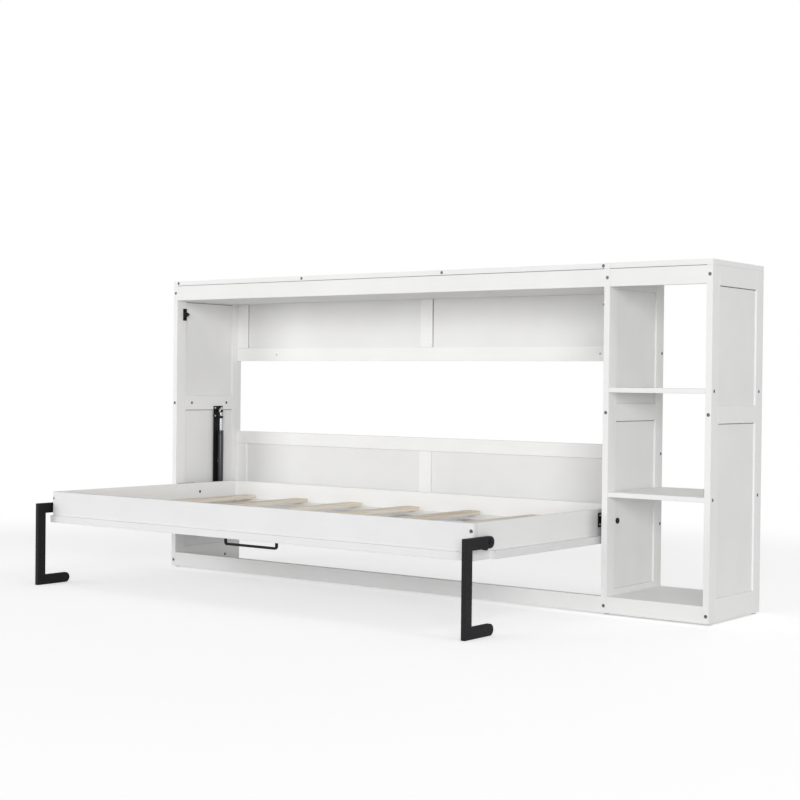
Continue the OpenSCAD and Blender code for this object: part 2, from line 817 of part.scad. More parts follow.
// Lever plate on the end board, with the strut's lower stud, which ends just beside the strut's eye
module lever() {
  lever_x = end_x - lever_t;
  half_h = lever_h / 2;
  difference() {
    union() {
      slab_x(lever_x, lever_t, [pivot_y - lever_front, lever_end_y], [pivot_z - half_h, pivot_z + half_h]);
      bar_x([lever_x, lever_end_y, pivot_z], lever_h, lever_t);
    }
    bar_x([lever_x - eps, pivot_y, pivot_z], pivot_d + 2 * run_room, lever_t + 2 * eps);
    at_lever_screws() screw_hole(lever_t);
  }
  bar_x([strut_x + eye_half, strut_y, pivot_z], shoulder_d, lever_x + lever_t / 2 - strut_x - eye_half);
}

module left_lever() color(black_steel) in_frame() lever();

module right_lever() color(black_steel) in_frame() twin() lever();

module lever_screws() color(bright_steel) in_frame() both() at_lever_screws() screw(lever_t + screw_bite);

// ---- Latches, left hand ----

module latch_base() difference() {
  half = [latch_w / 2, latch_h / 2];
  union() {
    slab_x(board_t, plate_t, [latch_y - half[0], latch_y + half[0]], [latch_z - half[1], latch_z + half[1]]);
    bar_x([board_t, latch_y, latch_z], barrel_d, plate_t + barrel_l);
  }
  bar_x([board_t - eps, latch_y, latch_z], latch_d + 2 * run_room, plate_t + barrel_l + 2 * eps);
  at_latch_screws() screw_hole(plate_t);
}

module latch_bolt() {
  grip_x = board_t + plate_t + barrel_l + side_play;
  bar_x([latch_x, latch_y, latch_z], latch_d, grip_x + grip_t + latch_tip - latch_x);
  bar_x([grip_x, latch_y, latch_z], grip_d, grip_t);
}

module left_latch_base() color(black_plastic) in_frame() latch_base();

module right_latch_base() color(black_plastic) in_frame() twin() latch_base();

module left_latch_bolt() color(black_plastic) in_frame() latch_bolt();

module right_latch_bolt() color(black_plastic) in_frame() twin() latch_bolt();

// ---- Bed ----

// Corner of the face panel cut away for the leg's arm
module leg_cutout() box([face_x - eps, face_y0 - eps, face_z - eps], [end_x, cutout_y1, deck_z + eps]);

module face_frame() color(white_paint) in_frame() difference() {
  union() {
    for (y = [face_y0, face_y1 - face_rail_w]) {
      box([face_x, y, face_z], [bay_w - face_x, y + face_rail_w, deck_z]);
    }
    for (x = face_stile_xs) {
      y = face_y0 + face_rail_w + seam;
      box([x, y, face_z], [x + face_stile_w, face_y1 - face_rail_w - seam, deck_z]);
    }
  }
  both() leg_cutout();
}

module face_infills() color(white_paint) in_frame() for (i = [0, 1]) {
  x = face_stile_xs[i] + face_stile_w;
  y = face_y0 + face_rail_w;
  z = face_z + (face_t - face_infill_t) / 2;
  box([x, y, z], [face_stile_xs[i + 1], face_y1 - face_rail_w, z + face_infill_t]);
}

module front_rail() color(white_paint) in_frame() {
  box([ledger_x, rail_y0, deck_z], [bay_w - ledger_x, rail_y0 + rail_t, deck_z + rail_h]);
}

module rear_rail() color(white_paint) in_frame() difference() {
  box([end_x, rail_y1 - rail_t, deck_z], [bay_w - end_x, rail_y1, deck_z + rail_h]);
  both() at_corner_bolts() bolt_hole(corner_bolt_l);
}

module end_board() difference() {
  box([end_x, rail_y0 + corner_w, deck_z], [end_x + rail_t, rail_y1 - rail_t, deck_z + rail_h]);
  bar_x([end_x - eps, pivot_y, pivot_z], pivot_d + 2 * run_room, rail_t + 2 * eps);
  bar_x([end_x - eps, latch_hole_y, latch_hole_z], latch_d + 2 * keeper_room, rail_t + 2 * eps);
  bar_x([end_x - eps, leg_pivot_y, leg_pivot_z], leg_bolt_d + 2 * fix_room, rail_t + 2 * eps);
  at_lever_screws() screw_hole(lever_t + screw_bite);
  at_corner_bolts() bolt_hole(corner_bolt_l);
}

module left_end_board() color(white_paint) in_frame() end_board();

module right_end_board() color(white_paint) in_frame() twin() end_board();

module corner_post() difference() {
  translate([end_x, rail_y0, deck_z]) linear_extrude(rail_h) {
    translate([corner_r, 0]) square([corner_w - corner_r, corner_w]);
    translate([0, corner_r]) square([corner_w, corner_w - corner_r]);
    translate([corner_r, corner_r]) circle(r = corner_r, $fn = round_fn);
  }
  at_corner_bolts() {
    bolt_hole(corner_bolt_l);
    translate([0, 0, -corner_sink - eps]) bolt_way(corner_sink + 2 * eps);
  }
}

module corner_posts() color(white_paint) in_frame() both() corner_post();

module slat_ledgers() color(white_paint) in_frame() {
  for (y = [rail_y0 + rail_t, rail_y1 - rail_t - ledger_w]) {
    box([ledger_x, y, deck_z], [bay_w - ledger_x, y + ledger_w, slat_z]);
  }
}

module bed_slats() color(raw_pine) in_frame() {
  x0 = ledger_x + slat_in;
  y0 = rail_y0 + rail_t + slat_gap;
  pitch = (bay_w - 2 * x0 - slat_w) / (slat_n - 1);
  for (i = [0 : slat_n - 1]) {
    x = x0 + i * pitch;
    box([x, y0, slat_z], [x + slat_w, rail_y1 - rail_t - slat_gap, slat_z + slat_t]);
  }
}

module pull_handle() color(black_steel) in_frame() translate([bay_w / 2, face_y0 + handle_in, face_z]) {
  drop = handle_reach - handle_d / 2;
  half = (handle_l - handle_d) / 2;
  for (x = [-half, half]) {
    translate([x, 0, -drop]) cylinder(d = handle_d, h = drop, $fn = small_fn);
    translate([x, 0, -drop]) sphere(d = handle_d, $fn = small_fn);
  }
  bar_x([-half, 0, -drop], handle_d, 2 * half);
}

module rail_bolts() color(bright_steel) in_frame() both() at_corner_bolts() bolt(corner_bolt_l);

// ---- Legs, left hand ----

module leg() difference() {
  union() {
    slab_x(leg_x, leg_t, [leg_y0, leg_y0 + leg_w], [0, leg_z1]);
    for (z = [leg_w / 2, leg_pivot_z]) {
      slab_x(leg_x, leg_t, [leg_y0, leg_pivot_y], [z - leg_w / 2, z + leg_w / 2]);
      bar_x([leg_x, leg_pivot_y, z], leg_w, leg_t);
    }
    bar_x([leg_x, leg_pivot_y - lug_in, leg_pivot_z - leg_w / 2], 2 * lug_r, leg_t);
  }
  bar_x([leg_x - eps, leg_pivot_y, leg_pivot_z], leg_bolt_d + 2 * run_room, leg_t + 2 * eps);
}

module left_leg() color(black_steel) in_frame() leg();

module right_leg() color(black_steel) in_frame() twin() leg();

// Pivot bolt with a flat head outside the leg and a spacer ring between leg and end board
module leg_pivot() translate([leg_x - side_play, leg_pivot_y, leg_pivot_z]) {
  ring_x = leg_t + 2 * side_play;
  ring_w = leg_play - side_play;
  bar_x([-leg_head_t, 0, 0], leg_head_d, leg_head_t);
  bar_x([0, 0, 0], leg_bolt_d, side_play + leg_t + leg_play + rail_t - pin_short);
  difference() {
    bar_x([ring_x, 0, 0], leg_head_d, ring_w);
    bar_x([ring_x - eps, 0, 0], leg_bolt_d + 2 * fix_room, ring_w + 2 * eps);
  }
}

module leg_pivots() color(bright_steel) in_frame() both() leg_pivot();

left_posts();
left_rails();
left_infills();
mid_posts();
mid_rails();
mid_infills();
right_posts();
right_rails();
right_infills();
bay_top_frame();
bay_top_infills();
shelf_top();
bay_fascia();
shelf_fascia();
bay_soffit();
shelf_rear_rail();
upper_back_frame();
upper_back_infills();
lower_back_frame();
lower_back_infills();
bay_bottom_rail();
shelf_plinth();
shelf_floor();
upper_shelf();
lower_shelf();
floor_glides();
frame_bolts();
barrel_nuts();
side_bolts();
left_mount_plate();
right_mount_plate();
left_pivot_bracket();
right_pivot_bracket();
plate_screws();
left_latch_base();
right_latch_base();
face_frame();
face_infills();
front_rail();
rear_rail();
left_end_board();
right_end_board();
corner_posts();
slat_ledgers();
bed_slats();
pull_handle();
left_lever();
right_lever();
lever_screws();
rail_bolts();
leg_pivots();
left_leg();
right_leg();
left_strut_rod();
left_strut_tube();
right_strut_rod();
right_strut_tube();
left_latch_bolt();
right_latch_bolt();
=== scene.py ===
import math
import bpy
import numpy as np
from mathutils import Matrix, Vector


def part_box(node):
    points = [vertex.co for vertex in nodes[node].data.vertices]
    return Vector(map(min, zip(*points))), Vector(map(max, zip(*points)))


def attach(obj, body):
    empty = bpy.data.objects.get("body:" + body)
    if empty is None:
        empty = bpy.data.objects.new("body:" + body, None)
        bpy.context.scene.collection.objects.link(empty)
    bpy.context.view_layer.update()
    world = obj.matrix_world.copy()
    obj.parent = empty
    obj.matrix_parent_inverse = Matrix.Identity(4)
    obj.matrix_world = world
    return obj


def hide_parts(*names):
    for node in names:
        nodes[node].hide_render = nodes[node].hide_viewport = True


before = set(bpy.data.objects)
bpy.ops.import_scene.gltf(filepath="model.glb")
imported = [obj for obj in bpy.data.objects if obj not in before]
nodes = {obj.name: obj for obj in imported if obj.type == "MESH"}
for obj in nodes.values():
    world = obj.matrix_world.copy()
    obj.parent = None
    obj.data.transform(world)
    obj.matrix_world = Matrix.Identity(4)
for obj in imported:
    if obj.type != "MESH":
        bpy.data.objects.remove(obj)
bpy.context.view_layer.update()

mm = 0.001

camera = {
    "place": (3.5455, -4.5266, 0.7862),  # metres, standing in front of the right end
    "yaw": 37.224,      # degrees to the left of the cabinet's depth
    "pitch": 0.614,     # degrees down
    "roll": 0.626,
    "lens": 70.83,      # mm on a 36 mm sensor
    "sensor": 36.0,
    "near": 0.05,       # metres, the nearest and farthest that it sees
    "far": 200.0,
}

stage = {
    "floorColor": "#EDEDED",
    "floorHalf": 4.6,         # metres from the middle to the floor's edge
    "floorLift": 0.45,        # glow that only the camera and reflections see
    "fadeFrom": 2.4,          # metres: here the floor starts turning to the backdrop's white
    "fadeTo": 4.0,
    "skyStrength": 0.35,      # what the room gives the object from all round
    "aim": (0.0, 0.0, 0.6),   # metres, where every lamp points
}

lights = [
    # place in metres, width and height in metres, power in watts
    {"name": "main", "place": (11.0, -14.0, 3.6), "size": (8.0, 6.0), "power": 1565.0},
    {"name": "fill", "place": (-4.5, -6.0, 1.6), "size": (3.0, 3.0), "power": 140.0},
    {"name": "above", "place": (5.5, -0.6, 5.2), "size": (1.5, 1.5), "power": 38.0},
    {"name": "behind", "place": (1.0, 8.0, 4.5), "size": (5.0, 3.0), "power": 80.0},
]


def hexToLinear(text, alpha=1.0):
    # sRGB hex to linear: c / 12.92 below 0.04045, else ((c + 0.055) / 1.055) ** 2.4
    raw = np.array([int(text[i:i + 2], 16) for i in (1, 3, 5)]) / 255.0
    linear = np.where(raw <= 0.04045, raw / 12.92, ((raw + 0.055) / 1.055) ** 2.4)
    return (*[float(c) for c in linear], alpha)


def aimedMatrix(place, forward, roll=0.0):
    # columns are right, up and minus forward; right = forward x Z, turned by roll about forward
    ahead = Vector(forward).normalized()
    level = ahead.cross(Vector((0, 0, 1))).normalized()
    over = level.cross(ahead)
    right = math.cos(roll) * level + math.sin(roll) * over
    up = -math.sin(roll) * level + math.cos(roll) * over
    turned = Matrix((right, up, -ahead)).transposed().to_4x4()
    return Matrix.Translation(Vector(place)) @ turned


def makeCamera():
    data = bpy.data.cameras.new("camera")
    data.lens = camera["lens"]
    data.sensor_width = camera["sensor"]
    data.clip_start = camera["near"]
    data.clip_end = camera["far"]
    eye = bpy.data.objects.new("camera", data)
    yaw = math.radians(camera["yaw"])
    pitch = math.radians(camera["pitch"])
    forward = (-math.sin(yaw) * math.cos(pitch), math.cos(yaw) * math.cos(pitch), -math.sin(pitch))
    eye.matrix_world = aimedMatrix(camera["place"], forward, math.radians(camera["roll"]))
    bpy.context.scene.collection.objects.link(eye)
    bpy.context.scene.camera = eye


def makeLights():
    for lamp in lights:
        data = bpy.data.lights.new(lamp["name"], "AREA")
        data.shape = "RECTANGLE"
        data.size, data.size_y = lamp["size"]
        data.energy = lamp["power"]
        holder = bpy.data.objects.new(lamp["name"], data)
        forward = Vector(stage["aim"]) - Vector(lamp["place"])
        holder.matrix_world = aimedMatrix(lamp["place"], forward)
        holder.visible_camera = False
        bpy.context.scene.collection.objects.link(holder)


def addNode(tree, kind, settings=None, links=None):
    # adds one node; settings go to the input of that name or number, or else to the node's own property
    node = tree.nodes.new(kind)
    for key, value in (settings or {}).items():
        if isinstance(key, int) or key in node.inputs:
            node.inputs[key].default_value = value
        else:
            setattr(node, key, value)
    for key, source in (links or {}).items():
        tree.links.new(source, node.inputs[key])
    return node


def newMaterial(name):
    material = bpy.data.materials.new(name)
    material.use_nodes = True
    tree = material.node_tree
    tree.nodes.clear()
    return material, tree


def perMm(period):
    # texture scale, in waves per metre, for a pattern that repeats about every period mm
    return 1000.0 / period


def seenRays(tree):
    # 1 on rays from the camera, off a glossy face or through a clear part, and 0 on all others
    path = addNode(tree, "ShaderNodeLightPath")
    seen = addNode(tree, "ShaderNodeMath", {"operation": "ADD"},
                   {0: path.outputs["Is Camera Ray"], 1: path.outputs["Is Glossy Ray"]})
    seen = addNode(tree, "ShaderNodeMath", {"operation": "ADD", "use_clamp": True},
                   {0: seen.outputs[0], 1: path.outputs["Is Transmission Ray"]})
    return seen.outputs[0]


def makeWorld():
    # the object sees an even pale room; the camera, reflections and clear parts see plain white
    world = bpy.data.worlds.new("paleRoom")
    world.use_nodes = True
    tree = world.node_tree
    tree.nodes.clear()
    room = addNode(tree, "ShaderNodeBackground", {"Color": (1, 1, 1, 1), "Strength": stage["skyStrength"]})
    white = addNode(tree, "ShaderNodeBackground", {"Color": (1, 1, 1, 1), "Strength": 1.0})
    both = addNode(tree, "ShaderNodeMixShader", None,
                   {0: seenRays(tree), 1: room.outputs[0], 2: white.outputs[0]})
    addNode(tree, "ShaderNodeOutputWorld", None, {"Surface": both.outputs[0]})
    bpy.context.scene.world = world


def makeFloor():
    # a plain pale studio floor: it keeps the shadow near the object and turns into the white backdrop
    # further out
    half = stage["floorHalf"]
    mesh = bpy.data.meshes.new("studioFloor")
    corners = [(-half, -half, 0), (half, -half, 0), (half, half, 0), (-half, half, 0)]
    mesh.from_pydata(corners, [], [(0, 1, 2, 3)])
    floor = bpy.data.objects.new("studioFloor", mesh)
    bpy.context.scene.collection.objects.link(floor)
    material, tree = newMaterial("studioFloorPaint")
    place = addNode(tree, "ShaderNodeTexCoord")
    reach = addNode(tree, "ShaderNodeVectorMath", {"operation": "LENGTH"}, {0: place.outputs["Object"]})
    fade = addNode(tree, "ShaderNodeMapRange",
                   {"interpolation_type": "SMOOTHSTEP", "From Min": stage["fadeFrom"],
                    "From Max": stage["fadeTo"]}, {"Value": reach.outputs["Value"]})
    seen = seenRays(tree)
    lift = addNode(tree, "ShaderNodeMath", {"operation": "MULTIPLY", 1: stage["floorLift"]}, {0: seen})
    far = addNode(tree, "ShaderNodeMath", {"operation": "MULTIPLY"}, {0: seen, 1: fade.outputs[0]})
    paint = addNode(tree, "ShaderNodeBsdfDiffuse", {"Color": hexToLinear(stage["floorColor"])})
    glow = addNode(tree, "ShaderNodeEmission", {"Color": (1, 1, 1, 1)}, {"Strength": lift.outputs[0]})
    near = addNode(tree, "ShaderNodeAddShader", None, {0: paint.outputs[0], 1: glow.outputs[0]})
    white = addNode(tree, "ShaderNodeEmission", {"Color": (1, 1, 1, 1), "Strength": 1.0})
    both = addNode(tree, "ShaderNodeMixShader", None,
                   {0: far.outputs[0], 1: near.outputs[0], 2: white.outputs[0]})
    addNode(tree, "ShaderNodeOutputMaterial", None, {"Surface": both.outputs[0]})
    mesh.materials.append(material)


bpy.context.scene.view_settings.view_transform = "Standard"
makeCamera()
makeLights()
makeWorld()
makeFloor()
print("stage: camera, %d lights, floor" % len(lights))


paint = {
    "pineColor": "#F4F4F3",       # posts and rails
    "bedColor": "#EAEAEB",        # the folding bed's boards, a little greyer and cooler
    "boardColor": "#F0F0EF",      # sunk panels
    "tone": 0.04,                 # how much darker the paint's thin places are
    "patch": 240.0,               # mm between thin places
    "grain": 5.0,                 # mm across the pine's raised lines
    "grainRun": 260.0,            # mm along them
    "grainDeep": 0.25,            # mm, their height
    "peel": 2.4,                  # mm, real orange peel is under 1 mm and would not show
    "peelDeep": 0.06,             # mm
    "roughness": (0.5, 0.62),
    "ior": 1.48,                  # nitrocellulose is between 1.47 and 1.5
    "paintedLightFrameColor": "#FAFAF9",      # the back's frames: a lighter copy of the posts' white, painted light that stands in for even light on them
    "paintedShadowColor": "#4E4E50",      # painted shadow: the shade that a rail, stile or the top casts into the joint beside a sunk panel
    "joint": 2.4,                 # mm, the painted shadow's width beside the panels
    "seam": 1.6,                  # mm, the painted shadow's width under the top
}


def sprayedLacquer(name, color, grainAxis=None, shadowLines=()):
    # Satin nitro lacquer sprayed in thin coats on pine or on MDF. It gives the eye an even soft white with a
    # low sheen, a fine orange peel and, on pine, the faint raised lines of the grain along the board.
    # the last argument paints shade: dark lines where a rail, stile or the top would cast its shadow on the
    # board beside it
    material, tree = newMaterial(name)
    place = addNode(tree, "ShaderNodeTexCoord")
    where = {"Vector": place.outputs["Object"]}
    patch = addNode(tree, "ShaderNodeTexNoise",
                    {"Scale": perMm(paint["patch"]), "Detail": 3.0, "Roughness": 0.6}, where)
    thin = addNode(tree, "ShaderNodeMapRange", {"From Min": 0.35, "From Max": 0.7},
                   {"Value": patch.outputs["Fac"]})
    full = hexToLinear(color)
    worn = tuple(c * (1 - paint["tone"]) for c in full[:3]) + (1.0,)
    peel = addNode(tree, "ShaderNodeTexNoise",
                   {"Scale": perMm(paint["peel"]), "Detail": 2.0, "Roughness": 0.5}, where)
    relief = addNode(tree, "ShaderNodeBump", {"Strength": 0.35, "Distance": paint["peelDeep"] * mm},
                     {"Height": peel.outputs["Fac"]})
    share = thin.outputs[0]
    if grainAxis is not None:
        stretch = [perMm(paint["grain"])] * 3
        stretch[grainAxis] = perMm(paint["grainRun"])
        lines = addNode(tree, "ShaderNodeMapping", {"Scale": stretch}, where)
        grain = addNode(tree, "ShaderNodeTexNoise",
                        {"Scale": 1.0, "Detail": 3.0, "Roughness": 0.55, "Distortion": 0.4},
                        {"Vector": lines.outputs[0]})
        relief = addNode(tree, "ShaderNodeBump", {"Strength": 0.3, "Distance": paint["grainDeep"] * mm},
                         {"Height": grain.outputs["Fac"], "Normal": relief.outputs[0]})
        lined = addNode(tree, "ShaderNodeMapRange", {"From Min": 0.3, "From Max": 0.75, "To Max": 0.6},
                        {"Value": grain.outputs["Fac"]})
        mixed = addNode(tree, "ShaderNodeMath", {"operation": "MULTIPLY_ADD", 1: 0.6},
                        {0: thin.outputs[0], 2: lined.outputs[0]})
        share = mixed.outputs[0]
    tone = addNode(tree, "ShaderNodeMix", {"data_type": "RGBA", 6: full, 7: worn}, {0: share})
    split = addNode(tree, "ShaderNodeSeparateXYZ", None, {0: place.outputs["Object"]})
    for axis, low, high in shadowLines:
        # each is a painted shadow line, the shade that a rail, stile or the top casts into the joint beside
        # it, between two coordinates of one axis, in metres
        spot = {"operation": "COMPARE", 1: (low + high) / 2, 2: (high - low) / 2}
        inside = addNode(tree, "ShaderNodeMath", spot, {0: split.outputs[axis]})
        # this mix paints that shade over the lacquer's colour
        shadeMix = {"data_type": "RGBA", 7: hexToLinear(paint["paintedShadowColor"])}
        tone = addNode(tree, "ShaderNodeMix", shadeMix, {0: inside.outputs[0], 6: tone.outputs[2]})
    rough = addNode(tree, "ShaderNodeMapRange",
                    {"From Min": 0.3, "From Max": 0.7, "To Min": paint["roughness"][0],
                     "To Max": paint["roughness"][1]}, {"Value": patch.outputs["Fac"]})
    skin = addNode(tree, "ShaderNodeBsdfPrincipled", {"IOR": paint["ior"]},
                   {"Base Color": tone.outputs[2], "Roughness": rough.outputs[0],
                    "Normal": relief.outputs[0]})
    addNode(tree, "ShaderNodeOutputMaterial", None, {"Surface": skin.outputs[0]})
    return material


slatWood = {
    "pale": "#F1E9DB",            # early wood
    "dark": "#DBCAB0",            # late wood
    "knot": "#9C7A57",
    "ring": 7.0,                  # mm between growth lines across the slat
    "ringRun": 420.0,             # mm along it
    "ringDeep": 0.4,              # mm, height of the late wood after planing
    "fibre": 1.1,                 # mm across the fibres, drawn coarser than the real 0.05 to show
    "fibreRun": 38.0,             # mm along them
    "fibreDeep": 0.18,            # mm
    "knotCell": (60.0, 190.0),    # mm across and along the slat that hold at most one knot
    "toneSpread": 0.12,           # how far the slats differ
    "shift": (3.0, 5.0, 1.0),     # metres, how far the pattern may move from slat to slat
    "lead": 0.1,                  # metres from where a slat's share of the pattern starts to its edge
}


def planedPine(name, firstX, pitch):
    # Raw pine, planed but not sanded fine: pale cream with darker growth lines along each slat, a few small
    # knots, fine fibres that catch the light, and a tone of its own for each slat.
    material, tree = newMaterial(name)
    place = addNode(tree, "ShaderNodeTexCoord")
    split = addNode(tree, "ShaderNodeSeparateXYZ", None, {0: place.outputs["Object"]})
    step = addNode(tree, "ShaderNodeMath", {"operation": "SUBTRACT", 1: firstX}, {0: split.outputs[0]})
    step = addNode(tree, "ShaderNodeMath", {"operation": "DIVIDE", 1: pitch}, {0: step.outputs[0]})
    step = addNode(tree, "ShaderNodeMath", {"operation": "FLOOR"}, {0: step.outputs[0]})
    chance = addNode(tree, "ShaderNodeTexWhiteNoise", {"noise_dimensions": "1D"}, {"W": step.outputs[0]})
    shift = addNode(tree, "ShaderNodeVectorMath", {"operation": "MULTIPLY_ADD", 1: slatWood["shift"]},
                    {0: chance.outputs["Color"], 2: place.outputs["Object"]})
    across, along = perMm(slatWood["ring"]), perMm(slatWood["ringRun"])
    lines = addNode(tree, "ShaderNodeMapping", {"Scale": (across, along, across)},
                    {"Vector": shift.outputs[0]})
    rings = addNode(tree, "ShaderNodeTexNoise",
                    {"Scale": 0.7, "Detail": 4.0, "Roughness": 0.55, "Distortion": 0.8},
                    {"Vector": lines.outputs[0]})
    late = addNode(tree, "ShaderNodeMapRange", {"From Min": 0.44, "From Max": 0.66},
                   {"Value": rings.outputs["Fac"]})
    base = addNode(tree, "ShaderNodeMix",
                   {"data_type": "RGBA", 6: hexToLinear(slatWood["pale"]),
                    7: hexToLinear(slatWood["dark"])}, {0: late.outputs[0]})
    across, along = [perMm(size) for size in slatWood["knotCell"]]
    knots = addNode(tree, "ShaderNodeMapping", {"Scale": (across, along, across)},
                    {"Vector": shift.outputs[0]})
    spots = addNode(tree, "ShaderNodeTexVoronoi", {"Scale": 1.0}, {"Vector": knots.outputs[0]})
    dark = addNode(tree, "ShaderNodeMapRange",
                   {"From Min": 0.05, "From Max": 0.12, "To Min": 0.75, "To Max": 0.0},
                   {"Value": spots.outputs["Distance"]})
    knotted = addNode(tree, "ShaderNodeMix", {"data_type": "RGBA", 7: hexToLinear(slatWood["knot"])},
                      {0: dark.outputs[0], 6: base.outputs[2]})
    own = addNode(tree, "ShaderNodeMapRange", {"To Min": 1.0 - slatWood["toneSpread"], "To Max": 1.0},
                  {"Value": chance.outputs["Value"]})
    toned = addNode(tree, "ShaderNodeVectorMath", {"operation": "SCALE"},
                    {0: knotted.outputs[2], "Scale": own.outputs[0]})
    across, along = perMm(slatWood["fibre"]), perMm(slatWood["fibreRun"])
    hairs = addNode(tree, "ShaderNodeMapping", {"Scale": (across, along, across)},
                    {"Vector": place.outputs["Object"]})
    fibre = addNode(tree, "ShaderNodeTexNoise", {"Scale": 1.0, "Detail": 2.0}, {"Vector": hairs.outputs[0]})
    relief = addNode(tree, "ShaderNodeBump", {"Strength": 0.5, "Distance": slatWood["fibreDeep"] * mm},
                     {"Height": fibre.outputs["Fac"]})
    relief = addNode(tree, "ShaderNodeBump", {"Strength": 0.4, "Distance": slatWood["ringDeep"] * mm},
                     {"Height": rings.outputs["Fac"], "Normal": relief.outputs[0]})
    rough = addNode(tree, "ShaderNodeMapRange", {"To Min": 0.62, "To Max": 0.82},
                    {"Value": fibre.outputs["Fac"]})
    skin = addNode(tree, "ShaderNodeBsdfPrincipled", {"IOR": 1.5},
                   {"Base Color": toned.outputs[0], "Roughness": rough.outputs[0],
                    "Normal": relief.outputs[0]})
    addNode(tree, "ShaderNodeOutputMaterial", None, {"Surface": skin.outputs[0]})
    return material


def coarseSkin(name, dark, light, grit, depth, roughness, gloss, cloudy=70.0):
    # A matt skin with a fine even grain: powder coat fused in the oven on steel, or plastic moulded against a
    # spark-eroded tool. It gives the eye an even tone without mirror lights and a slight sparkle along the
    # edges. The grit scatters most of a dark skin's gloss, so its specular level lies under the usual 0.5.
    # grit, depth and cloudy, the size of the tone's slow changes, are in mm; real grit is finer than drawn.
    material, tree = newMaterial(name)
    place = addNode(tree, "ShaderNodeTexCoord")
    where = {"Vector": place.outputs["Object"]}
    grain = addNode(tree, "ShaderNodeTexNoise", {"Scale": perMm(grit), "Detail": 2.0, "Roughness": 0.6},
                    where)
    cloud = addNode(tree, "ShaderNodeTexNoise", {"Scale": perMm(cloudy), "Detail": 3.0}, where)
    blend = addNode(tree, "ShaderNodeMath", {"operation": "MULTIPLY_ADD", 1: 0.45},
                    {0: grain.outputs["Fac"], 2: cloud.outputs["Fac"]})
    spread = addNode(tree, "ShaderNodeMapRange", {"From Min": 0.45, "From Max": 1.0},
                     {"Value": blend.outputs[0]})
    tone = addNode(tree, "ShaderNodeMix",
                   {"data_type": "RGBA", 6: hexToLinear(dark), 7: hexToLinear(light)},
                   {0: spread.outputs[0]})
    relief = addNode(tree, "ShaderNodeBump", {"Strength": 0.6, "Distance": depth * mm},
                     {"Height": grain.outputs["Fac"]})
    rough = addNode(tree, "ShaderNodeMapRange",
                    {"From Min": 0.3, "From Max": 0.7, "To Min": roughness[0], "To Max": roughness[1]},
                    {"Value": cloud.outputs["Fac"]})
    skin = addNode(tree, "ShaderNodeBsdfPrincipled", {"IOR": 1.5, "Specular IOR Level": gloss},
                   {"Base Color": tone.outputs[2], "Roughness": rough.outputs[0],
                    "Normal": relief.outputs[0]})
    addNode(tree, "ShaderNodeOutputMaterial", None, {"Surface": skin.outputs[0]})
    return material


def platedSteel(name, dark, light, roughness, streak, streakAxis=None, cloudy=6.0, drawn=40.0):
    # Steel with a thin metal skin, zinc from the barrel or hard chrome ground round. It gives the eye bright
    # soft lights, a cloudy tone on zinc, and fine lines along a ground rod. streak, the lines' width, and
    # cloudy, the size of the zinc's spangle, are in mm, coarser than the real ones; drawn is the lines'
    # length over their width.
    material, tree = newMaterial(name)
    place = addNode(tree, "ShaderNodeTexCoord")
    where = {"Vector": place.outputs["Object"]}
    cloud = addNode(tree, "ShaderNodeTexNoise", {"Scale": perMm(cloudy), "Detail": 3.0}, where)
    tone = addNode(tree, "ShaderNodeMix",
                   {"data_type": "RGBA", 6: hexToLinear(dark), 7: hexToLinear(light)},
                   {0: cloud.outputs["Fac"]})
    stretch = [perMm(streak)] * 3
    if streakAxis is not None:
        stretch[streakAxis] = perMm(streak * drawn)
    lines = addNode(tree, "ShaderNodeMapping", {"Scale": stretch}, where)
    ground = addNode(tree, "ShaderNodeTexNoise", {"Scale": 1.0, "Detail": 2.0}, {"Vector": lines.outputs[0]})
    relief = addNode(tree, "ShaderNodeBump", {"Strength": 0.25, "Distance": 0.02 * mm},
                     {"Height": ground.outputs["Fac"]})
    rough = addNode(tree, "ShaderNodeMapRange",
                    {"From Min": 0.3, "From Max": 0.7, "To Min": roughness[0], "To Max": roughness[1]},
                    {"Value": cloud.outputs["Fac"]})
    skin = addNode(tree, "ShaderNodeBsdfPrincipled", {"Metallic": 1.0},
                   {"Base Color": tone.outputs[2], "Roughness": rough.outputs[0],
                    "Normal": relief.outputs[0]})
    addNode(tree, "ShaderNodeOutputMaterial", None, {"Surface": skin.outputs[0]})
    return material


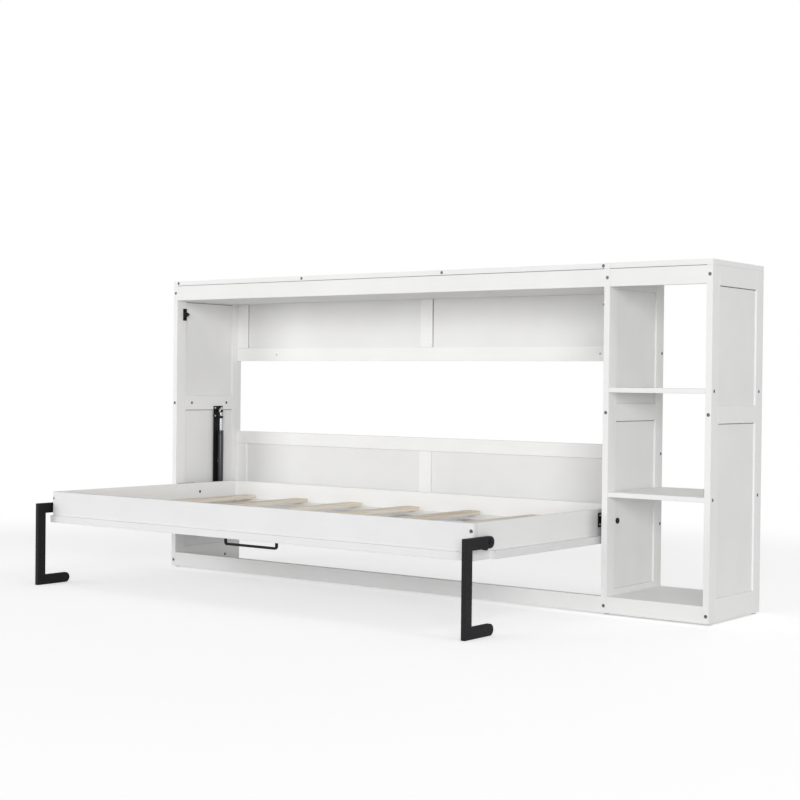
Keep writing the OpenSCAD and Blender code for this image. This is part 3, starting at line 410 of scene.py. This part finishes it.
def sharedMaterials():
    starts = sorted(low[0] for low, high in solidBoxes("bed_slats"))
    pitch = float(starts[1] - starts[0])
    # painted shadow lines, the shade cast into the joints: over each side panel, at the left of each upper
    # back panel, and under the top
    joint, seam = paint["joint"] * mm, paint["seam"] * mm
    overPanels = sorted((2, float(high[2]) - joint, float(high[2]))
                        for low, high in solidBoxes("right_infills"))
    besideStiles = [(0, float(low[0]), float(low[0]) + joint)
                    for low, high in solidBoxes("upper_back_infills")]
    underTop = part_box("bay_fascia")[1].z
    return {
        "pineX": sprayedLacquer("satinLacquerOnPineLengthways", paint["pineColor"], 0),
        "pineY": sprayedLacquer("satinLacquerOnPineDepthways", paint["pineColor"], 1),
        "pineZ": sprayedLacquer("satinLacquerOnPineUpright", paint["pineColor"], 2),
        "bedX": sprayedLacquer("greyWhiteLacquerOnPineLengthways", paint["bedColor"], 0),
        "bedZ": sprayedLacquer("greyWhiteLacquerOnPineUpright", paint["bedColor"], 2),
        "bedPanel": sprayedLacquer("greyWhiteLacquerOnMdfPanel", paint["bedColor"]),
        # a lighter copy of the pine lacquer: painted light on the back's frames
        "frameX": sprayedLacquer("paintedLightSatinLacquerOnPine", paint["paintedLightFrameColor"], 0),
        "fascia": sprayedLacquer("satinLacquerOnPineFascia", paint["pineColor"], 0,
                                 [(2, underTop - seam, underTop)]),
        "panel": sprayedLacquer("satinLacquerOnMdfPanel", paint["boardColor"]),
        "sidePanel": sprayedLacquer("satinLacquerOnMdfSidePanel", paint["boardColor"], None, overPanels),
        "midPanel": sprayedLacquer("satinLacquerOnMdfMiddlePanel", paint["boardColor"], None, overPanels[:1]),
        "backPanel": sprayedLacquer("satinLacquerOnMdfBackPanel", paint["boardColor"], None, besideStiles),
        "slat": planedPine("planedRawPine", float(starts[0]) - slatWood["lead"], pitch),
        # dark and light tone, grit and depth in mm, roughness, gloss
        "powder": coarseSkin("blackPowderCoatOnSteel", "#0D0D0F", "#17171A", 1.4, 0.05, (0.5, 0.62), 0.2),
        "enamel": coarseSkin("darkGreyEnamelOnTube", "#2A2B2E", "#343539", 2.0, 0.012, (0.28, 0.36), 0.5),
        "plastic": coarseSkin("mouldedBlackNylon", "#121214", "#1B1B1E", 0.9, 0.03, (0.45, 0.56), 0.35),
        "nylon": coarseSkin("mouldedPaleNylon", "#C6C6C5", "#D8D8D7", 0.9, 0.03, (0.45, 0.56), 0.5),
        "rubber": coarseSkin("mouldedBlackRubber", "#101011", "#18181A", 0.7, 0.02, (0.7, 0.82), 0.3),
        # dark and light tone, roughness, width of the fine lines in mm, axis that they run along
        "blacked": platedSteel("oilBlackedSteel", "#1C1C1E", "#2A2A2C", (0.38, 0.5), 1.5),
        "zinc": platedSteel("barrelPlatedZincSteel", "#A9ABAE", "#D3D4D6", (0.24, 0.36), 1.5),
        "nickel": platedSteel("darkNickelPlatedSteel", "#57585B", "#77787B", (0.3, 0.42), 1.5),
        "chrome": platedSteel("groundHardChrome", "#C4C6C9", "#DADCDE", (0.06, 0.12), 0.8, 2),
    }


def solidBoxes(name):
    # lowest and highest corner of each separate solid in a node: vertices that share a place or a triangle
    # take the lowest label among them until nothing changes
    mesh = nodes[name].data
    spots = np.empty(len(mesh.vertices) * 3, np.float32)
    mesh.vertices.foreach_get("co", spots)
    spots = spots.reshape(-1, 3)
    mesh.calc_loop_triangles()
    corners = np.empty(len(mesh.loop_triangles) * 3, np.int32)
    mesh.loop_triangles.foreach_get("vertices", corners)
    places, same = np.unique(np.round(spots, 6), axis=0, return_inverse=True)
    corners = same.reshape(-1)[corners].reshape(-1, 3)
    label = np.arange(len(places))
    while True:
        lowest = label[corners].min(axis=1)
        fresh = label.copy()
        np.minimum.at(fresh, corners.reshape(-1), np.repeat(lowest, 3))
        fresh = fresh[fresh]
        if np.array_equal(fresh, label):
            break
        label = fresh
    return [(places[label == k].min(axis=0), places[label == k].max(axis=0)) for k in np.unique(label)]


materials = sharedMaterials()
print("materials: %d" % len(materials))


easing = {
    "board": 1.3,      # mm round on lacquered edges
    "slat": 1.2,
    "plate": 0.45,
    "leg": 2.0,
    "shortest": 3.0,   # mm: shorter edges belong to the rims of drilled holes and stay sharp
    "arc": 0.85,       # mm: the same, on pieces with rounded outlines
    "sharp": 35.0,     # degrees
    "flat": 1.0,       # degrees: faces closer than this become one
    "merge": 0.01,     # mm
}

finishes = {
    "pineX": ["shelf_rear_rail", "bay_bottom_rail", "shelf_plinth", "slat_ledgers", "bay_top_frame",
              "upper_shelf", "lower_shelf", "shelf_top"],
    "frameX": ["upper_back_frame", "lower_back_frame", "rear_rail"],
    "fascia": ["bay_fascia", "shelf_fascia"],
    "pineY": ["left_rails", "mid_rails", "right_rails", "left_end_board", "right_end_board"],
    "pineZ": ["left_posts", "mid_posts", "right_posts"],
    "bedX": ["front_rail", "face_frame"],
    "bedZ": ["corner_posts"],
    "panel": ["bay_top_infills", "lower_back_infills", "bay_soffit", "shelf_floor"],
    "bedPanel": ["face_infills"],
    "sidePanel": ["left_infills", "right_infills"],
    "midPanel": ["mid_infills"],
    "backPanel": ["upper_back_infills"],
    "slat": ["bed_slats"],
    "powder": ["left_mount_plate", "right_mount_plate", "left_pivot_bracket", "right_pivot_bracket",
               "left_lever", "right_lever", "left_leg", "right_leg"],
    "plastic": ["left_latch_base", "right_latch_base"],
    "nylon": ["floor_glides"],
}


def edgeGroup():
    # marks long sharp edges for the bevel and keeps the short ones, which are the rims of holes, sharp
    group = bpy.data.node_groups.new("longEdges", "GeometryNodeTree")
    group.interface.new_socket("Geometry", in_out="INPUT", socket_type="NodeSocketGeometry")
    group.interface.new_socket("Shortest", in_out="INPUT", socket_type="NodeSocketFloat")
    group.interface.new_socket("Geometry", in_out="OUTPUT", socket_type="NodeSocketGeometry")
    given = addNode(group, "NodeGroupInput")
    angle = addNode(group, "GeometryNodeInputMeshEdgeAngle")
    ends = addNode(group, "GeometryNodeInputMeshEdgeVertices")
    length = addNode(group, "ShaderNodeVectorMath", {"operation": "DISTANCE"},
                     {0: ends.outputs["Position 1"], 1: ends.outputs["Position 2"]})
    bent = addNode(group, "FunctionNodeCompare",
                   {"data_type": "FLOAT", "operation": "GREATER_THAN", 1: math.radians(easing["sharp"])},
                   {0: angle.outputs[0]})
    long = addNode(group, "FunctionNodeCompare", {"data_type": "FLOAT", "operation": "GREATER_THAN"},
                   {0: length.outputs["Value"], 1: given.outputs["Shortest"]})
    eased = addNode(group, "FunctionNodeBooleanMath", {"operation": "AND"},
                    {0: bent.outputs[0], 1: long.outputs[0]})
    kept = addNode(group, "FunctionNodeBooleanMath", {"operation": "NIMPLY"},
                   {0: bent.outputs[0], 1: long.outputs[0]})
    smooth = addNode(group, "GeometryNodeSetShadeSmooth", {"Shade Smooth": True},
                     {"Geometry": given.outputs["Geometry"]})
    rims = addNode(group, "GeometryNodeSetShadeSmooth", {"domain": "EDGE", "Shade Smooth": False},
                   {"Geometry": smooth.outputs[0], "Selection": kept.outputs[0]})
    marked = addNode(group, "GeometryNodeStoreNamedAttribute",
                     {"data_type": "FLOAT", "domain": "EDGE", "Name": "bevel_weight_edge"},
                     {"Geometry": rims.outputs[0], "Value": eased.outputs[0]})
    addNode(group, "NodeGroupOutput", None, {"Geometry": marked.outputs[0]})
    return group


def easeEdges(piece, group, width, shortest, segments=2):
    weld = piece.modifiers.new("merge", "WELD")
    weld.merge_threshold = easing["merge"] * mm
    flat = piece.modifiers.new("flat", "DECIMATE")
    flat.decimate_type = "DISSOLVE"
    flat.angle_limit = math.radians(easing["flat"])
    marks = piece.modifiers.new("marks", "NODES")
    marks.node_group = group
    marks["Socket_1"] = shortest * mm
    bevel = piece.modifiers.new("ease", "BEVEL")
    bevel.limit_method = "WEIGHT"
    bevel.width = width * mm
    bevel.segments = segments
    bevel.use_clamp_overlap = False
    normals = piece.modifiers.new("normals", "WEIGHTED_NORMAL")
    normals.keep_sharp = True
    normals.weight = 100


def dressNodes():
    group = edgeGroup()
    arcs = ("corner_posts", "left_leg", "right_leg", "left_lever", "right_lever", "floor_glides")
    widths = {"slat": "slat", "powder": "plate", "plastic": "plate", "nylon": "plate"}
    for finish, names in finishes.items():
        for name in names:
            piece = nodes[name]
            for holder in piece.material_slots:
                holder.material = materials[finish]
            width = easing["leg"] if name.endswith("_leg") else easing[widths.get(finish, "board")]
            easeEdges(piece, group, width, easing["arc"] if name in arcs else easing["shortest"],
                      3 if name.endswith("_leg") else 2)


dressNodes()
print("nodes dressed: %d" % sum(len(names) for names in finishes.values()))


def outline(angles, radius, shape="round"):
    # distance of a closed outline from its centre: a circle, a hexagon r cos(30) / cos((a mod 60) - 30),
    # a cross whose four arms narrow towards their ends, a slot held between two lines, or the shallow ribs of
    # the latch's grip, r - deep (1 - cos(n a)) / 2, all in mm
    if shape == "hex":
        return radius * math.cos(math.pi / 6) / np.cos(np.mod(angles, math.pi / 3) - math.pi / 6)
    if shape == "cross":
        return radius * (0.34 + 0.66 * np.abs(np.cos(2 * angles)) ** 5)
    if shape == "slot":
        return np.minimum(radius, 0.2 * radius / np.maximum(np.abs(np.sin(angles)), 1e-6))
    if shape == "ribbed":
        return radius - latch["ribDeep"] * (0.5 - 0.5 * np.cos(latch["ribs"] * angles))
    return np.full_like(angles, radius)


def skinned(rings, loop=False):
    # quads from ring i to ring i + 1 of an array (ring, side, xyz); the ends close on the middle of their
    # ring, or in a loop the last ring joins the first
    count, sides = rings.shape[:2]
    here = np.arange(sides)
    there = (here + 1) % sides
    low = np.arange(count if loop else count - 1)[:, None] * sides
    high = (low + sides) % (count * sides)
    quads = np.stack([low + here, low + there, high + there, high + here], -1).reshape(-1, 4)
    if loop:
        return rings.reshape(-1, 3), quads, np.zeros((0, 3), int)
    poles = rings[[0, -1]].mean(axis=1)
    first = np.stack([np.full(sides, count * sides), there, here], -1)
    top = (count - 1) * sides
    last = np.stack([np.full(sides, count * sides + 1), top + here, top + there], -1)
    return np.vstack([rings.reshape(-1, 3), poles]), quads, np.vstack([first, last])


def ringStack(rings, sides, loop=False):
    # a turned form: ring i lies at height z_i with outline r_i(a), p = (r cos a, r sin a, z), all given in
    # mm; a ring is its radius, its height and, where it isn't round, the name of its outline
    angles = 2 * math.pi * np.arange(sides) / sides
    reach = np.stack([outline(angles, ring[0], *ring[2:]) for ring in rings])
    heights = np.array([ring[1] for ring in rings])[:, None] + 0 * reach
    return skinned(np.stack([reach * np.cos(angles), reach * np.sin(angles), heights], -1) * mm, loop)


def turnTo(axis):
    # rotation whose third column is the given axis and whose first column is as level as it can be
    out = np.array(axis, float)
    out /= np.linalg.norm(out)
    side = np.cross([0, 0, 1.0] if abs(out[2]) < 0.9 else [0, 1.0, 0], out)
    side /= np.linalg.norm(side)
    return np.stack([side, np.cross(out, side), out], 1)


def placed(form, spots):
    # copies of one form, each turned by its 3 x 3 matrix and moved to its origin: p = R q + o
    points, quads, tris = form
    count = len(points)
    turned = np.concatenate([points @ turn.T + np.array(origin) for origin, turn in spots])
    steps = (np.arange(len(spots)) * count)[:, None, None]
    return turned, (quads[None] + steps).reshape(-1, 4), (tris[None] + steps).reshape(-1, 3)


def joined(forms):
    # several forms in one mesh, with their corner numbers moved on
    step = 0
    points, quads, tris = [], [], []
    for p, q, t in forms:
        points.append(p)
        quads.append(q + step)
        tris.append(t + step)
        step += len(p)
    return np.vstack(points), np.vstack(quads), np.vstack(tris)


def makePiece(name, form, material, body, stands=(), smooth=40.0, second=None):
    # the form as a mesh object in the row frame; second is (material, test) for the faces in another finish
    points, quads, tris = form
    mesh = bpy.data.meshes.new(name)
    mesh.from_pydata(points.tolist(), [], quads.tolist() + tris.tolist())
    mesh.materials.append(material)
    if second is not None:
        mesh.materials.append(second[0])
        centres = np.vstack([points[quads].mean(axis=1), points[tris].mean(axis=1)])
        mesh.polygons.foreach_set("material_index", second[1](centres).astype(np.int32))
    mesh.shade_smooth()
    mesh.set_sharp_from_angle(angle=math.radians(smooth))
    mesh.update()
    piece = bpy.data.objects.new(name, mesh)
    bpy.context.scene.collection.objects.link(piece)
    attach(piece, body)
    if stands:
        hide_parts(*stands)
    return piece


def fastenersIn(name, endShare=0.12):
    # each fastener of a node: where its head's top is and which way the head looks; the head is the wider
    # end, and endShare is how much of the length counts as an end
    mesh = nodes[name].data
    spots = np.empty(len(mesh.vertices) * 3, np.float32)
    mesh.vertices.foreach_get("co", spots)
    spots = spots.reshape(-1, 3)
    found = []
    for low, high in solidBoxes(name):
        along = int(np.argmax(high - low))
        middle = (low + high) / 2
        inside = spots[np.all((spots > low - 0.01 * mm) & (spots < high + 0.01 * mm), axis=1)]
        spread = np.abs(np.delete(inside - middle, along, axis=1)).max(axis=1)
        edge = endShare * (high[along] - low[along])
        far = inside[:, along]
        wide = [spread[far < low[along] + edge].max(), spread[far > high[along] - edge].max()]
        out = np.zeros(3)
        out[along] = 1.0 if wide[1] > wide[0] else -1.0
        top = middle.copy()
        top[along] = high[along] if wide[1] > wide[0] else low[along]
        found.append((top, out))
    return found


# fasteners in mm: head, shank, socket, cross, slot and radius are radii, inset is from a slat's end
furnitureBolt = {"head": 6.0, "thick": 3.0, "shank": 3.5, "length": 16.0, "socket": 2.6, "deep": 2.3}
panScrew = {"head": 4.5, "thick": 2.5, "shank": 2.25, "length": 7.0, "cross": 2.5, "deep": 1.5}
barrelNut = {"radius": 6.0, "length": 17.0, "slot": 4.6, "deep": 1.2}
slatScrew = {"head": 3.8, "shank": 1.9, "length": 9.0, "cross": 2.2, "proud": 0.25, "inset": 26.0}


def boltForm(sides=36):
    b = furnitureBolt
    rings = [
        (b["shank"], -b["length"]), (b["shank"], -b["thick"]), (b["head"], -b["thick"]),
        (b["head"], -0.9), (b["head"] - 0.25, -0.35), (b["head"] - 0.9, -0.02),
        (b["socket"] + 0.9, 0.0), (b["socket"] + 0.2, -0.02, "hex"), (b["socket"], -0.3, "hex"),
        (b["socket"], -b["deep"], "hex"), (0.6, -b["deep"] - 0.35),
    ]
    return ringStack(rings, sides)


def screwForm(sides=40):
    s = panScrew
    rings = [
        (s["shank"], -s["length"]), (s["shank"], -s["thick"]), (s["head"] - 0.15, -s["thick"]),
        (s["head"], -s["thick"] + 0.25), (s["head"] - 0.1, -1.2), (s["head"] - 0.75, -0.45),
        (s["head"] - 1.6, -0.1), (s["cross"], 0.0, "cross"), (s["cross"] - 0.25, -0.35, "cross"),
        (s["cross"] - 0.8, -s["deep"], "cross"), (0.3, -s["deep"] - 0.2),
    ]
    return ringStack(rings, sides)


def nutForm(sides=48):
    n = barrelNut
    rings = [
        (n["radius"] - 0.5, -n["length"]), (n["radius"], -n["length"] + 0.5), (n["radius"], -0.5),
        (n["radius"] - 0.5, 0.0), (n["slot"] + 0.1, 0.0, "slot"), (n["slot"], -0.15, "slot"),
        (n["slot"], -n["deep"], "slot"),
    ]
    return ringStack(rings, sides)


def slatScrewForm(sides=32):
    s = slatScrew
    rings = [
        (s["shank"], -s["length"]), (s["shank"], -2.4), (s["head"] - 0.15, -0.2),
        (s["head"], 0.0), (s["head"] - 0.3, s["proud"]), (s["cross"], s["proud"], "cross"),
        (s["cross"] - 0.3, -0.1, "cross"), (s["cross"] - 0.8, -1.1, "cross"), (0.25, -1.3),
    ]
    return ringStack(rings, sides)


def makeFasteners():
    bolt, screw, nut = boltForm(), screwForm(), nutForm()
    for name, body in (("frame_bolts", "cabinet"), ("side_bolts", "cabinet"), ("rail_bolts", "bed")):
        spots = [(top, turnTo(out)) for top, out in fastenersIn(name)]
        makePiece(name + "_made", placed(bolt, spots), materials["nickel"], body, (name,))
    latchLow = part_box("left_latch_base")[0].z
    for name, body in (("plate_screws", "cabinet"), ("lever_screws", "bed")):
        spots = [(top, turnTo(out)) for top, out in fastenersIn(name)]
        atLatch = (materials["blacked"], lambda centres: centres[:, 2] > latchLow)
        form = placed(screw, spots)
        makePiece(name + "_made", form, materials["zinc"], body, (name,), second=atLatch)
    faces = {name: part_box(name) for name in ("left_rails", "mid_rails", "right_rails")}
    spots = []
    for low, high in solidBoxes("barrel_nuts"):
        middle = (low + high) / 2
        board = min(faces.values(), key=lambda pair: abs((pair[0].x + pair[1].x) / 2 - middle[0]))
        out = 1.0 if abs(board[1].x - high[0]) < abs(board[0].x - low[0]) else -1.0
        top = np.array([high[0] if out > 0 else low[0], middle[1], middle[2]])
        spots.append((top, turnTo((out, 0, 0))))
    makePiece("barrel_nuts_made", placed(nut, spots), materials["nickel"], "cabinet",
              ("barrel_nuts",))
    spots = []
    for low, high in solidBoxes("bed_slats"):
        x = (low[0] + high[0]) / 2
        for y in (low[1] + slatScrew["inset"] * mm, high[1] - slatScrew["inset"] * mm):
            spots.append((np.array([x, y, high[2]]), turnTo((0, 0, 1))))
    makePiece("slat_screws", placed(slatScrewForm(), spots), materials["zinc"], "bed")


makeFasteners()
print("fasteners made")


pullHandle = {"half": 4.5, "square": 5.0, "bend": 8.0}  # mm; square: 2 is a round bar, more is squarer


def makeHandle(sides=28, steps=9):
    # a rounded square, |u|^n + |v|^n = half^n, carried down one post, round two quarter bends and up the
    # other
    low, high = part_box("pull_handle")
    half, bend = pullHandle["half"] * mm, pullHandle["bend"] * mm
    middle = (low + high) / 2
    reach = (high.x - low.x) / 2 - half
    quarter = np.linspace(-math.pi / 2, 0, steps)
    heading = np.concatenate([[-math.pi / 2], quarter, quarter + math.pi / 2, [math.pi / 2]])
    sign = np.repeat([-1.0, 1.0], steps + 1)
    height = np.full(len(heading), low.z + half + bend)
    height[[0, -1]] = high.z
    path = np.stack([middle.x + sign * (reach - bend) + bend * np.sin(heading),
                     np.full(len(heading), middle.y), height - bend * np.cos(heading)], -1)
    angles = 2 * math.pi * np.arange(sides) / sides
    power = pullHandle["square"]
    reachOut = half / (np.abs(np.cos(angles)) ** power + np.abs(np.sin(angles)) ** power) ** (1 / power)
    across = (reachOut * np.cos(angles))[None, :, None] * np.array([0, 1.0, 0])
    normal = np.stack([-np.sin(heading), 0 * heading, np.cos(heading)], -1)[:, None, :]
    rings = path[:, None, :] + across + (reachOut * np.sin(angles))[None, :, None] * normal
    makePiece("pull_handle_made", skinned(rings), materials["powder"], "bed", ("pull_handle",))


gasStrut = {
    # mm, radii unless said otherwise
    "eye": 12.0, "eyeThick": 9.0, "eyeBore": 4.1,
    "neck": 4.0, "neckLong": 3.0,
    "tube": 12.0, "bore": 7.15, "floorThick": 8.0,
    "crimp": 0.7, "crimpDrop": 14.0,      # depth, and distance under the mouth
    "rod": 7.0, "rodNeck": 5.2,
    "collar": 10.0, "collarHigh": 12.0, "collarDrop": 20.0,   # drop from the upper eye's middle to the collar
}


def tubeForm(length, sides=64):
    # closed end at 0 with a rounded edge, a crimped groove, a rolled lip at the mouth, and the bore back to
    # its floor
    g = gasStrut
    r, groove = g["tube"], length - g["crimpDrop"]
    return ringStack([
        (g["neck"], 0.0), (r - 2.2, 0.0), (r - 0.9, 0.5), (r - 0.2, 1.5), (r, 3.0),
        (r, groove - 2.4), (r - 0.15, groove - 1.6), (r - g["crimp"], groove - 0.5),
        (r - g["crimp"], groove + 0.5), (r - 0.15, groove + 1.6), (r, groove + 2.4),
        (r, length - 2.6), (r - 0.3, length - 1.3), (r - 1.3, length - 0.3), (r - 2.2, length),
        (r - 2.9, length - 0.3), (g["bore"] + 1.4, length - 1.6), (g["bore"], length - 2.4),
        (g["bore"], g["floorThick"] + 0.5), (g["bore"] - 0.6, g["floorThick"]),
    ], sides)


def eyeForm(bore, sides=48):
    # a turned eye with rounded edges, a raised face round the middle and, where bore isn't 0, a hole
    r, half = gasStrut["eye"], gasStrut["eyeThick"] / 2
    outer = [
        (r - 3.2, -half), (r - 2.8, -half + 0.5), (r - 1.0, -half + 0.6),
        (r - 0.25, -half + 1.1), (r, -half + 2.0), (r, half - 2.0),
        (r - 0.25, half - 1.1), (r - 1.0, half - 0.6), (r - 2.8, half - 0.5), (r - 3.2, half),
    ]
    if bore == 0:
        return ringStack(outer, sides)
    inner = [(bore + 0.5, half), (bore, half - 0.5), (bore, 0.5 - half), (bore + 0.5, -half)]
    return ringStack(outer + inner, sides, loop=True)


def rodForm(length, sides=56):
    # ground rod with a chamfered foot, stepped down to a neck that ends inside the eye
    g = gasStrut
    r = g["rod"]
    step = length - g["collarDrop"] + 1.0
    return ringStack([
        (r - 1.0, 0.0), (r, 1.0), (r, step), (r - 0.4, step + 0.4),
        (g["rodNeck"] + 0.3, step + 5.0), (g["rodNeck"], step + 6.0), (g["rodNeck"], length - g["eye"] + 3.0),
    ], sides)


def collarForm(sides=56):
    # moulded stop ring: chamfered ends, a waist between two beads and a bore that grips the rod
    g = gasStrut
    r, high, bore = g["collar"], g["collarHigh"], g["rod"] - 0.3
    return ringStack([
        (bore, 0.0), (r - 1.2, 0.0), (r - 0.3, 0.5), (r, 1.4), (r, high * 0.34),
        (r - 0.7, high * 0.42), (r - 0.7, high * 0.58), (r, high * 0.66), (r, high - 1.4),
        (r - 0.3, high - 0.5), (r - 1.2, high), (bore, high),
    ], sides, loop=True)


def sealForm(sides=56):
    # wiper ring in the tube's mouth: a lip that rises towards the rod
    bore, rod = gasStrut["bore"], gasStrut["rod"]
    return ringStack([
        (bore - 0.05, -2.6), (bore + 1.3, -1.7), (bore + 1.5, -0.9), (rod + 0.5, -0.1),
        (rod + 0.1, -0.2), (rod + 0.06, -2.4),
    ], sides, loop=True)


def makeStruts():
    g = gasStrut
    upright, level = turnTo((0, 0, 1)), turnTo((1, 0, 0))
    for side in ("left", "right"):
        tube, rod = side + "_strut_tube", side + "_strut_rod"
        low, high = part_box(tube)
        middle = (low + high) / 2
        x, y = middle.x, middle.y
        eyeZ = low.z + g["eye"] * mm
        tubeZ = eyeZ + (g["eye"] + g["neckLong"]) * mm
        footing = joined([
            placed(eyeForm(0), [((x, y, eyeZ), level)]),
            placed(ringStack([(g["neck"], 0.0), (g["neck"], g["eye"] + g["neckLong"] + 0.5)], 32),
                   [((x, y, eyeZ), upright)]),
        ])
        makePiece(tube + "_made", placed(tubeForm((high.z - tubeZ) / mm), [((x, y, tubeZ), upright)]),
                  materials["enamel"], tube, (tube,))
        makePiece(side + "_strut_foot", footing, materials["powder"], tube)
        makePiece(side + "_strut_seal", placed(sealForm(), [((x, y, high.z), upright)]),
                  materials["rubber"], tube)
        low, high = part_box(rod)
        topZ = high.z - g["eye"] * mm
        collarZ = topZ - (g["collarDrop"] + g["collarHigh"]) * mm
        makePiece(rod + "_made", placed(rodForm((topZ - low.z) / mm), [((x, y, low.z), upright)]),
                  materials["chrome"], rod, (rod,))
        makePiece(side + "_strut_eye", placed(eyeForm(g["eyeBore"]), [((x, y, topZ), level)]),
                  materials["zinc"], rod)
        makePiece(side + "_strut_collar", placed(collarForm(), [((x, y, collarZ), upright)]),
                  materials["plastic"], rod)


legPivot = {
    # mm
    "head": 10.0, "thick": 4.0, "shank": 5.0, "short": 2.0,   # short of the end board's inner face
    "socket": 3.6, "deep": 2.6,
    "ringFrom": 20.6, "ringWide": 1.7,    # spacer ring: its distance under the head's top, and width
}


def makeLegPivots(sides=48):
    # a domed bolt head with a hexagon socket outside the leg, its shank, and the spacer ring between leg and
    # board
    k = legPivot
    low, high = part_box("leg_pivots")
    long = solidBoxes("left_end_board")[0][1][0] / mm - low.x / mm - k["short"]
    bolt = ringStack([
        (k["shank"] - 0.8, -long), (k["shank"], 0.8 - long), (k["shank"], -k["thick"]),
        (k["head"] - 0.2, -k["thick"]), (k["head"], 0.25 - k["thick"]), (k["head"], -2.6),
        (k["head"] - 0.4, -1.9), (k["head"] - 1.8, -1.0), (k["head"] - 3.6, -0.35),
        (k["socket"] + 1.3, 0.0), (k["socket"] + 0.25, -0.02, "hex"), (k["socket"], -0.3, "hex"),
        (k["socket"], -k["deep"], "hex"), (0.8, -k["deep"] - 0.5),
    ], sides)
    start, wide, r, bore = -k["ringFrom"], k["ringWide"], k["head"], k["shank"] + 0.1
    spacer = ringStack([
        (bore, start - wide), (r - 0.4, start - wide), (r, start - wide + 0.4),
        (r, start - 0.4), (r - 0.4, start), (bore, start),
    ], sides, loop=True)
    y, z = (low.y + high.y) / 2, (low.z + high.z) / 2
    spots = [((low.x, y, z), turnTo((-1, 0, 0))), ((high.x, y, z), turnTo((1, 0, 0)))]
    form = joined([placed(bolt, spots), placed(spacer, spots)])
    makePiece("leg_pivots_made", form, materials["powder"], "bed", ("leg_pivots",))


latch = {
    # mm, radii unless said otherwise; bossWide and bossHigh are on the plate, boss is at the tip
    "plateThick": 3.0, "bossWide": 9.7, "bossHigh": 11.2, "boss": 9.12, "bossLong": 8.0, "bossBore": 8.6,
    "bolt": 4.0, "grip": 7.5, "gripThick": 5.0, "tip": 7.0,
    "ribs": 18, "ribDeep": 0.35,
}


def bossForm(sides=56, steps=8):
    # a cone that falls from an oval on the plate to the barrel's round, with a bore through it:
    # half-axes = end + (start - end)(1 - t)^2
    k = latch
    angles = 2 * math.pi * np.arange(sides) / sides
    t = np.linspace(0, 1, steps)
    fall = (1 - t) ** 2
    wide = k["boss"] + (k["bossWide"] - k["boss"]) * fall
    high = k["boss"] + (k["bossHigh"] - k["boss"]) * fall
    away = (t * k["bossLong"])[:, None] + 0 * angles
    outer = np.stack([wide[:, None] * np.cos(angles), high[:, None] * np.sin(angles), away], -1)
    inner = outer[[-1, 0]]
    inner[..., :2] *= k["bossBore"] / np.linalg.norm(inner[..., :2], axis=-1, keepdims=True)
    return skinned(np.concatenate([outer, inner]) * mm, loop=True)


def latchBoltForm(length, sides=72):
    # a plain bolt with a ribbed grip near its tip; heights run back from the tip
    k = latch
    grip = -k["tip"]
    return ringStack([
        (k["bolt"] - 0.6, -length), (k["bolt"], 0.6 - length), (k["bolt"], grip - k["gripThick"]),
        (k["grip"] - 0.5, grip - k["gripThick"], "ribbed"),
        (k["grip"], grip - k["gripThick"] + 0.6, "ribbed"),
        (k["grip"], grip - 0.6, "ribbed"), (k["grip"] - 0.5, grip, "ribbed"), (k["bolt"], grip),
        (k["bolt"], -1.6), (k["bolt"] - 0.35, -0.7), (k["bolt"] - 1.3, 0.0),
    ], sides)


def makeLatches():
    for side, out in (("left", 1.0), ("right", -1.0)):
        turn = turnTo((out, 0, 0))
        low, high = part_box(side + "_latch_base")
        y, z = (low.y + high.y) / 2, (low.z + high.z) / 2
        plateX = low.x + latch["plateThick"] * mm if out > 0 else high.x - latch["plateThick"] * mm
        makePiece(side + "_latch_boss", placed(bossForm(), [((plateX, y, z), turn)]),
                  materials["plastic"], "cabinet")
        name = side + "_latch_bolt"
        low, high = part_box(name)
        tipX = high.x if out > 0 else low.x
        form = placed(latchBoltForm((high.x - low.x) / mm), [((tipX, y, z), turn)])
        makePiece(name + "_made", form, materials["plastic"], name, (name,))


makeHandle()
makeStruts()
makeLegPivots()
makeLatches()
print("handle, struts, leg pivots and latches made")
